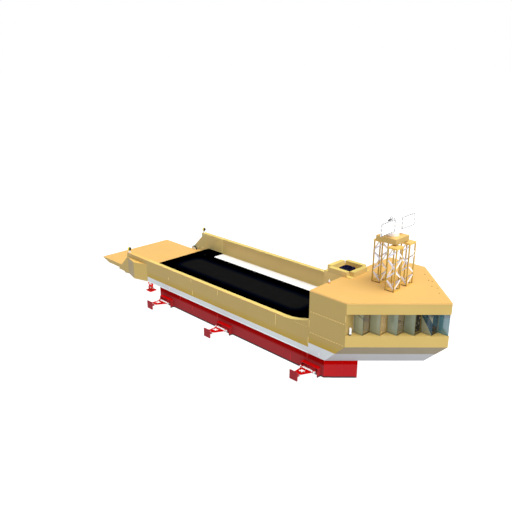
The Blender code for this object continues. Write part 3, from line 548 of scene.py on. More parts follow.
def propeller_cap(side_name):
    """Rounded bronze fairing on the aft end of a propeller's hub."""
    low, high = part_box(f"propeller_{side_name}")
    x, (_, y, z) = low.x, (low + high) / 2
    cap = round_bar(f"propeller_cap_{side_name}", (x - 0.03, y, z), 0.095, 0.06, "x", 20)
    for reach, share in ((0.03, 0.80), (0.02, 0.60)):
        with editing(cap, "FACE", looking(AFT)):
            push(-reach)
            bpy.ops.transform.resize(value=(1.0, share, share), center_override=(x, y, z))
    fit(soften(cap, 0.006), bronze, f"propeller_{side_name}_body")


propeller_cap("starboard")
propeller_cap("port")


# Cross deck and bow box
# The white band that ties the hulls together, with its walkway round the cargo deck, and the raked
# bow box above the forefoot. White two-pack paint, grey with painted shade where the rake turns
# under.

WHITE = card(206, 213, 216)
# Yellow of the upright faces, painted darker than the same yellow on the tops: painted shade.
# Below it the gold of painted shade at the foot of the sides.
SIDE_YELLOW = card(177, 152, 88)
SHADED_SIDE_GOLD = card(176, 146, 44)


def pale_foot_line(finish):
    """Cool pale line along the foot of the white strake, lighter towards its lower edge."""
    return finish.falling(finish.z, 1.17, 1.24), card(236, 246, 250)


def walkway_top(finish):
    """The walkway's top is painted a brighter white than the band's sides: painted light."""
    return finish.z > 1.535, BRIGHT_WHITE


band = {"seams": (-7.61, 3.02), "roughness": 0.45}
paint_nodes(plate_paint("white_band_paint", WHITE, pale_foot_line, walkway_top, **band), "cross_deck")


def bow_band_sides(finish):
    """Abreast of the house the band is as white as the strake."""
    return abs(finish.facing(1)) > 0.9, WHITE


def rake_sides(finish):
    """Abreast of the house the box above the band is yellow, with painted shade turning it gold at
    its foot.
    """
    gold = finish.falling(finish.z, 1.80, 2.30)
    return abs(finish.facing(1)) > 0.9, finish.mix(gold, SIDE_YELLOW, SHADED_SIDE_GOLD)


# The band's faces where the rake turns under are painted grey: painted shade; its faces abreast
# are white.
bow_white = plate_paint("bow_band_paint", card(162, 163, 166), bow_band_sides, roughness=0.45)
paint_nodes(bow_white, "bow_band")
# The box's raked faces, which look forward and down, are painted brown: painted shade on its
# yellow.
bow_brown = plate_paint("bow_rake_paint", card(136, 126, 103), rake_sides, gloss=0.2)
paint_nodes(bow_brown, "bow_chamfer")


def strake_welds(side):
    """Welds near both ends of a side's white strake."""
    return [weld_run(x, side * SIDE_FACE, side, 1.28, 1.46) for x in (-4.87, 9.30)]


# The strake's weld beads are painted whiter than the band: a painted highlight along them.
white_weld_paint = plate_paint("white_weld_paint", card(250, 251, 252), roughness=0.4, gloss=0.4)
both_sides("strake_welds", strake_welds, white_weld_paint)


# Cargo deck
# One deck plate with anti-slip grit in its paint: a grey field, rubbed where cargo stands, in a
# wide black border of painted shade.
# Low lashing pots sit along both edges.

# black of the painted shade that borders the deck's grey field
DECK_SHADE_BLACK = card(0, 0, 0)
deck_low, deck_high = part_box("deck_plate")
FIELD_MIDDLE = (-1.75, 0.36)
FIELD_HALF = (6.45, 1.16)
FIELD_CORNER = 0.7
DECK_PITCH = 2.96


def deck_finish():
    """Dark grey field in a black border of painted shade, navy-tinged at its edge; rubbed lighter
    in places.
    """
    finish = Finish("black_grit_deck", 0.9)
    finish.set("Specular IOR Level", 0.0)
    past_x = (abs(finish.x - FIELD_MIDDLE[0]) - (FIELD_HALF[0] - FIELD_CORNER)) | 0.0
    past_y = (abs(finish.y - FIELD_MIDDLE[1]) - (FIELD_HALF[1] - FIELD_CORNER)) | 0.0
    away = (past_x * past_x + past_y * past_y) ** 0.5
    field = finish.falling(away, FIELD_CORNER - 0.35, FIELD_CORNER)
    shade_fringe = finish.falling(away, FIELD_CORNER - 0.05, FIELD_CORNER + 0.30)
    grit = finish.noise(85.0, 4.0)
    base = finish.mix(shade_fringe, DECK_SHADE_BLACK, card(1, 4, 15))
    base = finish.mix(field, base, card(19, 19, 19))
    worn = finish.between(finish.noise(1.3, 5.0), 0.45, 0.75)
    base = finish.mix(field * worn * 0.20, base, card(30, 30, 30))
    finish.colour(finish.between(grit, 0.66, 0.76) * 0.05, base, card(60, 60, 64))
    finish.bump(grit + finish.lines(finish.x, deck_low.x, DECK_PITCH, 0.02), 0.003)
    return finish


paint_nodes(deck_finish(), "deck_plate")
pot_steel = steel_finish("lashing_pot_steel", card(22, 22, 25), 0.6)
UP = (0.0, 0.0, 1.0)


def twin(piece, place):
    """A copy with its own mesh, moved or turned by a matrix."""
    copy = piece.copy()
    copy.data = piece.data.copy()
    bpy.context.scene.collection.objects.link(copy)
    copy.data.transform(place)
    return copy


def copies(model, places):
    """A copy at each place, instead of the model."""
    made = [twin(model, Matrix.Translation(place)) for place in places]
    bpy.data.objects.remove(model)
    return made


def lashing_pots():
    """Low steel cups with a crossbar, welded on the deck for cargo lashings."""
    pot = round_bar("pot", (0.0, 0.0, deck_high.z + 0.008), 0.085, 0.016, "z", 20)
    soften(pressed(pot, UP, 0.022, -0.012), 0.003)
    bar = round_bar("bar", (0.0, 0.0, deck_high.z + 0.009), 0.008, 0.15, "x", 10)
    with editing(bar, "FACE", lambda face: abs(face.normal.x) > 0.9):
        bpy.ops.mesh.bevel(offset=0.003, segments=2)
    model = joined([pot, bar], "lashing_pot")
    row = [-8.3 + index * DECK_PITCH for index in range(6)]
    places = [(x, y, 0.0) for x in row for y in (-2.32, 2.32)]
    fit(joined(copies(model, places), "lashing_pots"), pot_steel)


lashing_pots()


# Bulwarks
# Box-section sides in yellow marine paint with a flat cap, swept up to the house at the fore end,
# with a fender wedge on each quarter. Short vertical weld runs stand out where panels meet,
# painted lighter as a painted highlight.

INNER_YELLOW = card(233, 200, 128)
# The same yellow painted lighter for the cap and the roof, whose faces look up: painted light.
CAP_YELLOW = card(228, 205, 115)
ROOF_YELLOW = card(229, 183, 105)
INNER_FACE = 3.65
CAP_Z = 2.84
QUARTER_X = -7.6
HUB_X, HUB_Z = -11.17, 1.12


def shaded_gold_foot(finish):
    """Forward of the quarter, painted shade deepens the sides to gold down to their lower edge."""
    return finish.falling(finish.z, 1.56, 2.05) & (finish.x > QUARTER_X), SHADED_SIDE_GOLD


def inner_face(finish):
    """The faces towards the cargo deck have a lighter coat, with painted shade darkening their
    foot by the deck.
    """
    deck_shade = finish.falling(finish.z, 1.70, 2.30) * (finish.x > -7.5)
    coat = finish.mix(deck_shade, INNER_YELLOW, card(206, 178, 106))
    aft = finish.falling(finish.x, -10.2, -8.2)
    quarter = finish.mix(aft, card(250, 222, 144), card(204, 199, 150))
    return abs(finish.y) < INNER_FACE + 0.01, finish.mix(finish.x < -7.5, coat, quarter)


def upward(finish, height):
    """1 on faces that look up, from a height on."""
    return (finish.facing(2) > 0.5) & (finish.z > height)


def starboard_quarter(finish):
    """1 on the starboard quarter."""
    return (finish.x < QUARTER_X) & (finish.y < 0.0)


def lit_cap(finish):
    """The cap's top is painted a lighter yellow, painted light on faces that look up, but for the
    starboard quarter.
    """
    return upward(finish, 2.8) & (1.0 - starboard_quarter(finish)), CAP_YELLOW


def quarter_cap(finish):
    """The upward faces of the starboard quarter's cap and of its wedge's top are painted light to
    match the ramp.
    """
    return upward(finish, 2.4) & starboard_quarter(finish), card(237, 192, 106)


def wedge_faces(finish):
    """The fender wedges are a shade lighter than the sides, with painted shade browning their aft
    face and painted light on their tops.
    """
    shade = finish.mix(finish.facing(0) < 0.0, card(190, 163, 92), card(156, 136, 92))
    return abs(finish.y) > SIDE_FACE + 0.002, finish.mix(finish.facing(2) > 0.5, shade, CAP_YELLOW)


def cap_edge_shade(finish):
    """Brown line of painted shade along the cap's outer corner."""
    corner = (finish.z > CAP_Z - 0.04) & (abs(finish.y) > SIDE_FACE - 0.035)
    return corner & (finish.x < 6.45), card(184, 144, 94)


def hub_face(finish):
    """Pale bare face of the ramp's hub."""
    round_face = disc(finish.x, finish.z, (HUB_X, HUB_Z), 0.27)
    return round_face & (abs(finish.y) < INNER_FACE - 0.005), card(246, 240, 232)


side_patches = (shaded_gold_foot, inner_face, wedge_faces, lit_cap, quarter_cap, cap_edge_shade, hub_face)
side_paint = plate_paint("yellow_side_paint", SIDE_YELLOW, *side_patches, seams=(-10.55, 2.66))
paint_nodes(side_paint, "bulwark_starboard", "bulwark_port")

SIDE_WELDS = (
    # x, bottom, top on the outer faces
    (-4.93, 2.02, 2.20),
    (-2.29, 2.57, 2.78),
    (-2.17, 1.66, 1.97),
    (0.51, 2.42, 2.78),
    (5.84, 2.09, 2.78),
    (8.45, 1.70, 2.20),
)
INNER_WELDS = (
    # the same on the faces towards the cargo deck
    (-7.56, 2.44, 2.80),
    (-10.35, 2.17, 2.45),
    (-10.35, 1.88, 2.00),
    (-1.20, 2.40, 2.80),
    (4.30, 2.40, 2.80),
)


def bulwark_welds(side):
    """Short welds where plates of a side meet, and a dotted one at the fore end."""
    outer, inner = side * SIDE_FACE, side * INNER_FACE
    runs = [weld_run(x, outer, side, low, high) for x, low, high in SIDE_WELDS]
    runs += [weld_run(x, inner, -side, low, high) for x, low, high in INNER_WELDS]
    dots = [7.42 + step * 0.17 for step in range(6)]
    return runs + [weld_run(x, outer, side, 2.79, 2.82, width=0.09) for x in dots]


def rubbing_pads(side):
    """Two round pads on a bulwark's inner toe, for the ramp's edge."""
    pads = []
    for x, z in ((-10.86, 1.42), (-10.17, 1.48)):
        pad = round_bar("pad", (x, side * (INNER_FACE - 0.015), z), 0.12, 0.03, "y", 24)
        pads.append(soften(pressed(pad, (0.0, -side, 0.0), 0.03, 0.012), 0.005))
    return pads


# The weld beads are painted much lighter than the sides: a painted highlight along them. The step
# nosings and handrail wear this paint too.
weld_paint = plate_paint("yellow_weld_paint", card(232, 202, 126), roughness=0.42, gloss=0.4)
pad_paint = plate_paint("rubbing_pad_paint", card(226, 214, 164), roughness=0.42)
both_sides("bulwark_welds", bulwark_welds, weld_paint)
both_sides("rubbing_pads", rubbing_pads, pad_paint)


# Stern
# The yellow stern box, its apron and the hinged loading ramp: a wedge-shaped flap on bosses with
# a pin in a hub at each side.


def shaded_upright_faces(colour):
    """Patch that paints the faces that don't look up a darker colour than the tops: painted shade.
    """
    return lambda finish: (finish.facing(2) < 0.5, colour)


# Tops in the lighter roof yellow, upright faces in the darker side yellow: painted light and
# painted shade.
stern_paint = plate_paint("yellow_stern_paint", ROOF_YELLOW, shaded_upright_faces(SIDE_YELLOW))
paint_nodes(stern_paint, "stern_box", "stern_apron", "ramp")
hub_grease = plate_paint("ramp_hub_grease", card(14, 0, 44), roughness=0.6, gloss=0.02)
teal_paint = plate_paint("teal_nipple_paint", card(60, 170, 176), roughness=0.35, gloss=0.5)


def hoop(name, middle, radius, thickness, hoop_sides, bar_sides, turn=(0.0, 0.0, 0.0)):
    """Torus primitive with so many sides round the hoop and round its bar."""
    size = {"major_radius": radius, "minor_radius": thickness}
    size |= {"major_segments": hoop_sides, "minor_segments": bar_sides}
    add = bpy.ops.mesh.primitive_torus_add
    return start(name, add, location=middle, rotation=turn, **size)


def hub_rings():
    """Dark greased ring round each ramp hub, with a teal grease nipple on top."""
    upright = (math.pi / 2, 0.0, 0.0)
    for side, side_name in SIDES:
        y = side * 3.50
        middle = (HUB_X, y, HUB_Z)
        ring = hoop(f"ramp_hub_ring_{side_name}", middle, 0.31, 0.062, 48, 12, upright)
        with editing(ring, "FACE", lambda face: abs(face.calc_center_median().y - y) > 0.03):
            bpy.ops.transform.resize(value=(1.0, 0.8, 1.0), center_override=middle)
        fit(ring, hub_grease)
        top = (HUB_X, y, HUB_Z + 0.365)
        nipple = round_bar(f"grease_nipple_{side_name}", top, 0.030, 0.05, "z", 12)
        fit(soften(pressed(nipple, UP, 0.010, 0.02), 0.003), teal_paint)


hub_rings()


# Wheelhouse
# Yellow plated house across the bow: a deep sill and header swept round the V of the bow, side
# walls with two level weld lines, and a rear wall with a door and three windows.

# The house front is painted a lighter yellow than its sides: painted light on the faces that look
# forward.
FRONT_YELLOW = card(200, 172, 99)


def header_shadow(finish):
    """The header is a shade browner just under the roof."""
    return finish.between(finish.z, 4.85, 5.10) * 0.5, card(190, 160, 96)


house_front_paint = plate_paint("yellow_house_front_paint", FRONT_YELLOW, header_shadow)
house_side_paint = plate_paint("yellow_house_side_paint", SIDE_YELLOW)
house_rear_paint = plate_paint("yellow_house_rear_paint", SIDE_YELLOW, rows=(2.49, 3.20))
paint_nodes(house_front_paint, "house_front", "house_header", "window_frame")
paint_nodes(house_side_paint, "house_side_starboard", "house_side_port")
paint_nodes(house_rear_paint, "house_rear", "rear_door")

HOUSE_REAR_X = 8.47
SHOULDER_X = 11.07
DIAGONAL = 0.7071
SIDE_WELD_HEIGHTS = (2.52, 3.83)


def house_welds(side):
    """Level stitch welds along a side wall, and upright ones at the wall's ends."""
    face, crest = side * SIDE_FACE, side * (SIDE_FACE + 0.012)
    near, far = sorted((face, crest))
    stitch = block("stitch", (0.0, near, -0.02), (0.11, far, 0.02))
    rounded(stitch, on_crest(crest), 0.008, 2)
    steps = [HOUSE_REAR_X + 0.10 + index * 0.19 for index in range(13)]
    runs = copies(stitch, [(x, 0.0, z) for z in SIDE_WELD_HEIGHTS for x in steps])
    runs.append(weld_run(HOUSE_REAR_X + 0.03, face, side, 2.84, 3.28))
    runs.append(weld_run(SHOULDER_X - 0.03, face, side, 3.98, 4.36))
    return runs


both_sides("house_welds", house_welds, weld_paint)

glass_rim = Finish("black_window_rubber", 0.7)
glass_rim.colour(glass_rim.noise(20.0), card(20, 21, 22), card(38, 39, 40))
glass_rim.bump(glass_rim.noise(60.0), 0.002)

# Pane tints: painted reflection and painted shade of the room behind the glass.
ABREAST_PANES = (
    # from this x on, the tint of the panes that face abreast
    (11.00, card(158, 162, 130)),
    (12.40, card(150, 162, 140)),
    (13.07, card(146, 156, 128)),
    (13.73, card(164, 164, 134)),
    (14.40, card(92, 142, 150)),
)
FORWARD_PANES = (
    # from this x on, the tint of the panes that face forward
    (11.00, card(104, 94, 62)),
    (12.10, card(190, 156, 88)),
    (12.80, card(112, 98, 62)),
    (13.50, card(96, 92, 70)),
    (14.20, card(20, 84, 104)),
    (14.80, card(60, 120, 136)),
)


def pane_tints(finish, panes):
    """The tints of one table of panes, along the barge."""
    tone = panes[0][1]
    for x, colour in panes[1:]:
        tone = finish.mix(finish.x > x, tone, colour)
    return tone


def window_finish():
    """Tinted glass with painted reflection and painted shade: a tint of its own on each pane and
    darker diagonal bands over it.
    """
    finish = Finish("tinted_window_glass", 0.06)
    ahead = finish.between(finish.facing(0), 0.4, 0.6)
    abreast, forward = pane_tints(finish, ABREAST_PANES), pane_tints(finish, FORWARD_PANES)
    base = finish.mix(ahead, abreast, forward)
    along = (finish.x - abs(finish.y) - (SHOULDER_X - SIDE_FACE)) * DIAGONAL
    fall = 4.42 - (along - 0.47) * 0.60 - finish.z
    across = along - 4.12 - (4.39 - finish.z) * 0.50
    thin = (abs(fall) < 0.025) & along.within(0.45, 0.95)
    broad = along.within(0.94, 1.32) & fall.within(-0.16, 0.08)
    low_corner = along.within(4.72, 5.02) & (finish.z < 3.85 - (along - 4.72))
    top = finish.between(finish.z, 4.10, 4.42) * finish.between(along, 3.9, 4.2)
    # darker bands of painted reflection over the pane tints
    for band, tone in (
        (thin | broad, card(22, 46, 66)),
        (across.within(0.0, 0.34), card(22, 74, 92)),
        (low_corner, card(20, 28, 44)),
        (top, card(8, 72, 102)),
    ):
        base = finish.mix(band, base, tone)
    marks = finish.between(finish.noise(3.0, 5.0, (1.0, 1.0, 0.25)), 0.5, 0.8)
    finish.colour(marks * 0.10, base, card(220, 226, 222))
    finish.feed("Roughness", marks * 0.08 + 0.04)
    cabinet_pane = ahead * finish.x.within(13.50, 14.20)
    finish.feed("Alpha", 0.68 - ahead * 0.22 - cabinet_pane * 0.30)
    finish.set("IOR", 1.5)
    return finish


window_glass = window_finish()
paint_nodes(window_glass, "window_glass")
REAR_WINDOWS = ((-1.95, -1.15), (1.15, 1.95), (2.35, 3.15))
REAR_PANE_Z = (3.401, 4.299)


def rear_panes():
    """Rubber-set panes in the rear wall and in the door."""
    x = HOUSE_REAR_X + 0.045
    for number, (low_y, high_y) in enumerate(REAR_WINDOWS):
        low, high = zip((low_y + 0.001, high_y - 0.001), REAR_PANE_Z)
        pane = block(f"rear_pane_{number}", (x, *low), (x + 0.012, *high))
        fit(soften(pane, 0.003), window_glass)
        rim = block(f"rear_pane_rim_{number}", (x - 0.016, *low), (x - 0.001, *high))
        with editing(rim, "FACE", lambda face: abs(face.normal.x) > 0.9):
            bpy.ops.mesh.inset(thickness=0.035)
            bpy.ops.mesh.delete(type="FACE")
        with editing(rim, "EDGE", lambda edge: edge.is_boundary):
            bpy.ops.mesh.bridge_edge_loops()
        fit(soften(rim, 0.004), glass_rim)
    door_x = HOUSE_REAR_X + 0.025
    pane = block("door_pane", (door_x, -2.911, 3.651), (door_x + 0.010, -2.489, 4.199))
    fit(soften(pane, 0.003), window_glass, "door")


rear_panes()

STARBOARD = (0.0, -1.0, 0.0)


def runs_along(axis, length):
    """Test for the edges that run along one axis for more than a length."""
    return lambda edge: abs(edge.verts[0].co[axis] - edge.verts[1].co[axis]) > length


def door_handle():
    """Lever handle on a back plate, outside the door leaf."""
    x = HOUSE_REAR_X + 0.005
    plate = block("plate", (x - 0.008, -2.44, 3.36), (x, -2.36, 3.60))
    rounded(plate, runs_along(0, 0.004), 0.02, 3)
    spindle = round_bar("spindle", (x - 0.03, -2.40, 3.48), 0.012, 0.05, "x", 12)
    lever = round_bar("lever", (x - 0.055, -2.46, 3.48), 0.011, 0.15, "y", 12)
    with editing(lever, "FACE", looking(STARBOARD)):
        push(0.02, -0.02)
        push(0.015)
    handle = joined([plate, spindle, lever], "door_handle")
    fit(soften(handle, 0.003), leg_steel, "door")


door_handle()


# Door steps
# Three open-grid steel steps between the walkway and the door sill, with a tube handrail.

tread_steel = Finish("galvanised_tread_steel", 0.5, 0.55)
spangle = tread_steel.cells(22.0)
tread_steel.colour(spangle, card(138, 144, 146), card(176, 180, 182))
tread_steel.bump(tread_steel.noise(30.0), 0.003)
paint_nodes(tread_steel, "door_steps")


def tube(name, points, radius):
    """Bent tube through points: a path given its thickness and made a mesh."""
    bpy.ops.object.select_all(action="DESELECT")
    bpy.ops.curve.primitive_bezier_curve_add()
    path = bpy.context.object.data
    path.splines.clear()
    path.dimensions = "3D"
    line = path.splines.new("POLY")
    line.points.add(len(points) - 1)
    for point, place in zip(line.points, points):
        point.co = (*place, 1.0)
    path.bevel_depth = radius
    path.bevel_resolution = 2
    path.use_fill_caps = True
    bpy.ops.object.convert(target="MESH")
    return named(name)


def bent(points, radius, steps=5):
    """Points of a path whose corners are rounded."""
    points = [Vector(point) for point in points]
    path = points[:1]
    for before, corner, after in zip(points, points[1:], points[2:]):
        first = corner + (before - corner).normalized() * radius
        last = corner + (after - corner).normalized() * radius
        for index in range(steps + 1):
            share = index / steps
            path.append(first.lerp(corner, share).lerp(corner.lerp(last, share), share))
    return path + points[-1:]


STEP_FOOT = 1.59
STEP_RISE = (2.485 - STEP_FOOT) / 3
STEP_RUN = 0.28
RAIL_Y = -3.44


def step_parts():
    """Nosing bars on the treads, and a handrail outboard of the open door."""
    bars = []
    for step in (1, 2):
        top = STEP_FOOT + step * STEP_RISE
        x = HOUSE_REAR_X - (3 - step) * STEP_RUN
        bar = block("nosing", (x - 0.012, -3.14, top - 0.03), (x + 0.035, -2.54, top + 0.006))
        bars.append(soften(bar, 0.005))
    fit(joined(bars, "step_nosings"), weld_paint)
    bends = ((7.70, 1.545), (7.70, 2.55), (8.40, 3.45), (8.462, 3.45))
    rail = bent([(x, RAIL_Y, z) for x, z in bends], 0.10)
    fit(tube("step_handrail", rail, 0.021), weld_paint)


step_parts()


# Inside the wheelhouse
# A white steering desk with an instrument slope, a swivel helm seat in navy leathercloth, and a
# tall navy cable cabinet ahead of the desk with white clips, seen through the bow windows.

desk_paint = plate_paint("desk_white_paint", card(225, 228, 230), roughness=0.4, gloss=0.5)
paint_nodes(desk_paint, "steering_desk")
desk_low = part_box("steering_desk")[0]
SLOPE_MIDDLE = (0.225, 0.927)  # of the desk, forward of its aft edge and above its foot


def instrument_finish():
    """Dark instrument panel with soft-lit dials in one row."""
    finish = Finish("instrument_panel", 0.35)
    column = (finish.y - 0.15).pingpong(0.15)
    row = abs((finish.x - desk_low.x) - 0.22)
    dial = (column * column + row * row) ** 0.5
    face = dial < 0.085
    ring = (dial > 0.078) & face
    panel = finish.mix(finish.noise(40.0), card(22, 24, 28), card(34, 36, 40))
    panel = finish.mix(face, panel, card(208, 212, 205))
    finish.colour(ring, panel, card(110, 114, 118))
    finish.bump(ring, 0.004)
    return finish


def instrument_panel():
    """Plate laid on the slope of the desk with a raised rim."""
    slope = math.atan2(0.25, 0.45)
    place = (desk_low.x + SLOPE_MIDDLE[0], 0.0, desk_low.z + SLOPE_MIDDLE[1])
    plate = block("instrument_panel", (-0.20, -0.85, 0.0), (0.20, 0.85, 0.02))
    pressed(plate, UP, 0.02, -0.008)
    plate.data.transform(Matrix.Translation(place) @ Matrix.Rotation(-slope, 4, "Y"))
    fit(soften(plate, 0.004), instrument_finish())


instrument_panel()


def chipped_enamel(name, colour, under, scale, worn, share=1.0):
    """Dark enamel, chipped to the coat under it where the noise is above worn."""
    finish = Finish(name, 0.45)
    chips = finish.between(finish.noise(scale, 4.0), worn, worn + 0.06)
    finish.colour(chips * share, colour, under)
    finish.bump(finish.noise(30.0), 0.003)
    return finish


cabinet_navy = chipped_enamel("navy_cabinet_enamel", card(8, 8, 46), card(112, 92, 60), 7.0, 0.54)


def cable_cabinet():
    """Tall cabinet with a recessed door and cable clips up its starboard face."""
    cabinet = block("cable_cabinet", (13.06, -0.15, 2.48), (13.34, 0.15, 4.02))
    pressed(cabinet, (1.0, 0.0, 0.0), 0.03, -0.012)
    pressed(cabinet, STARBOARD, 0.03, -0.012)
    fit(soften(cabinet, 0.006), cabinet_navy)
    clips = []
    for x, z in ((13.12, 3.22), (13.27, 3.38), (13.16, 2.95), (13.31, 3.74)):
        clip = block("clip", (x - 0.035, -0.162, z - 0.05), (x + 0.035, -0.132, z + 0.05))
        clips.append(soften(clip, 0.01, 3))
    fit(joined(clips, "cable_clips"), desk_paint)


cable_cabinet()

SEAT_X = 11.72
CROWN = 0.35
SIDE_PULL = 0.05
leathercloth = Finish("navy_leathercloth", 0.45)
hide = leathercloth.cells(180.0)
leathercloth.colour(hide, card(12, 14, 48), card(30, 34, 84))
leathercloth.feed("Roughness", hide * 0.25 + 0.35)
leathercloth.bump(hide, 0.001)


def cushion(name, low, high):
    """Crowned pad with pulled-in sides: subdivided, swollen and smoothed."""
    pad = block(name, low, high)
    middle = [(a + b) / 2 for a, b in zip(low, high)]
    half = [(b - a) / 2 for a, b in zip(low, high)]
    with editing(pad, "FACE", lambda face: True):
        bpy.ops.mesh.subdivide(number_cuts=7)
    thin = half.index(min(half))
    wide = [index for index in range(3) if index != thin]
    for corner in pad.data.vertices:
        share = [(value - m) / h for value, m, h in zip(corner.co, middle, half)]
        swell = math.prod(1.0 - share[index] ** 4 for index in wide)
        scale = [1.0 - CROWN + CROWN * swell] * 3
        for index, other in (wide, wide[::-1]):
            scale[index] = 1.0 - SIDE_PULL * (1.0 - share[other] ** 2) * share[index] ** 6
        corner.co = [m + s * h * k for m, s, h, k in zip(middle, share, half, scale)]
    smooth = pad.modifiers.new("smooth", "SUBSURF")
    smooth.levels = smooth.render_levels = 1
    hold(pad)
    bpy.ops.object.modifier_apply(modifier="smooth")
    return pad


def helm_seat():
    """Swivel seat: two cushions on a turned steel pedestal with a round foot."""
    x, base = SEAT_X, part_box("helm_seat")[0].z
    pedestal = round_bar("seat_pedestal", (x, 0.0, base + 0.015), 0.20, 0.03, "z", 28)
    with editing(pedestal, "FACE", looking(UP)):
        bpy.ops.mesh.inset(thickness=0.12)
        push(z=0.03)
        bpy.ops.mesh.inset(thickness=0.02)
        push(z=0.34)
        bpy.ops.transform.resize(value=(2.4, 2.4, 1.0), center_override=(x, 0.0, base + 0.40))
        push(z=0.02)
    fit(soften(pedestal, 0.005), leg_steel)
    seat = cushion("seat_cushion", (x - 0.25, -0.25, base + 0.42), (x + 0.25, 0.25, base + 0.54))
    back = cushion("seat_back", (x - 0.27, -0.24, base + 0.56), (x - 0.17, 0.24, base + 1.15))
    for pad in (seat, back):
        fit(pad, leathercloth)
    corners = (x - 0.262, -0.05, base + 0.44), (x - 0.245, 0.05, base + 0.80)
    stem = block("seat_back_bracket", *corners)
    fit(soften(stem, 0.005), leg_steel)
    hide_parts("helm_seat")


helm_seat()


# Roof
# Flat plate roof with faint lap seams along it, six brown bolt heads by the port bow edge and a
# small white lamp on an orange foot at the starboard quarter.

roof_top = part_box("roof")[1].z


def lap_seams(finish):
    """Three fore-and-aft lap seams, a shade lighter than the roof."""
    return finish.lines(finish.y, 0.75, 2.1, 0.03) * 0.3, card(232, 188, 120)


paint_nodes(plate_paint("yellow_roof_paint", ROOF_YELLOW, lap_seams), "roof")
bolt_brown = plate_paint("brown_bolt_paint", card(172, 124, 66), gloss=0.5)
ROOF_BOLTS = (
    # x, y
    (11.76, 2.80),
    (12.43, 2.07),
    (12.68, 2.05),
    (13.05, 1.36),
    (13.41, 1.34),
    (13.87, 0.71),
)


def roof_bolts():
    """Hexagon heads on washers where the header is bolted to the roof."""
    washer = round_bar("washer", (0.0, 0.0, roof_top + 0.004), 0.036, 0.008, "z", 20)
    head = round_bar("head", (0.0, 0.0, roof_top + 0.020), 0.024, 0.024, "z", 6)
    model = joined([washer, pressed(head, UP, 0.006, 0.004)], "roof_bolt")
    heads = joined(copies(model, [(*place, 0.0) for place in ROOF_BOLTS]), "roof_bolts")
    fit(soften(heads, 0.002), bolt_brown)


roof_bolts()


def roof_lamp():
    """Lamp with a tapered hood on a round foot."""
    place = (8.58, -2.40)
    foot = round_bar("roof_lamp_foot", (*place, roof_top + 0.02), 0.08, 0.04, "z", 20)
    orange = plate_paint("orange_lamp_foot_paint", card(214, 140, 60), gloss=0.5)
    fit(soften(pressed(foot, UP, 0.02, 0.02), 0.004), orange)
    lamp = round_bar("roof_lamp", (*place, roof_top + 0.11), 0.055, 0.10, "z", 20)
    with editing(lamp, "FACE", looking(UP)):
        push(z=0.06)
        bpy.ops.transform.resize(value=(0.4, 0.4, 1.0), center_override=(*place, roof_top + 0.22))
    fit(soften(lamp, 0.006), desk_paint)


roof_lamp()


# Engine casing
# A square trunk behind the house with an open-cornered coaming round a dark blue cooling fan. The
# fan's blades and frame are navy enamel, chipped to grey.


def casing_sides(finish):
    """Upright faces of the casing wear the inner sides' yellow, painted light to lift their shade,
    and lighter above the roof, where faces that look abreast are painted darker: painted shade.
    """
    coaming = finish.mix(abs(finish.facing(1)) > 0.7, card(234, 210, 142), card(215, 184, 118))
    return finish.facing(2) < 0.5, finish.mix(finish.z > roof_top, INNER_YELLOW, coaming)


# The casing's tops take the lighter cap yellow: painted light.
casing_paint = plate_paint("yellow_casing_paint", CAP_YELLOW, casing_sides, gloss=0.2)
paint_nodes(casing_paint, "engine_casing", "casing_coaming")
fan_navy = chipped_enamel("navy_fan_enamel", card(2, 2, 50), card(60, 58, 96), 24.0, 0.56, 0.4)
fan_navy.set("Specular IOR Level", 0.1)
paint_nodes(fan_navy, "fan_frame", "fan_rotor")
FAN_X = 8.065


def fan_guard():
    """Wire guard over the fan: rings on crossed wires."""
    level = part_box("fan_frame")[1].z + 0.012
    middle = (FAN_X, 0.0, level)
    wires = [hoop("ring", middle, radius, 0.006, 32, 6) for radius in (0.08, 0.15, 0.22, 0.29)]
    for index in range(6):
        angle = index * math.pi / 6
        across, along = 0.33 * math.cos(angle), 0.33 * math.sin(angle)
        ends = [(FAN_X + way * across, way * along, level - 0.006) for way in (-1, 1)]
        wires.append(tube("wire", ends, 0.006))
    fit(joined(wires, "fan_guard"), fan_navy)


fan_guard()


# Lattice towers and radar
# Three square lattice towers: yellow corner legs with white zigzag braces. They carry a yellow
# platform, on which a white housing turns with a flat panel on each side.

TOWER_PLACES = (("starboard", 11.72, -0.655), ("port", 11.72, 0.655), ("aft", 10.37, 0.0))
TOWER_FOOT, TOWER_HEAD = 5.182, 7.599
BRACE_HALF_X, BRACE_HALF_Y = 0.233, 0.263  # half the span of the braces between the corner legs
TOWER_YELLOW = card(228, 190, 92)
# Shaded and lit copies of the tower's yellow and of the braces' white: painted shade and painted
# light.
TOWER_SHADE = card(190, 158, 78)
LIT_TOWER_TOP = card(232, 192, 112)
BRACE_WHITE = card(252, 252, 255)
SHADED_BRACE_LILAC = card(230, 234, 255)
SHADED_BASE_BROWN = card(130, 86, 60)


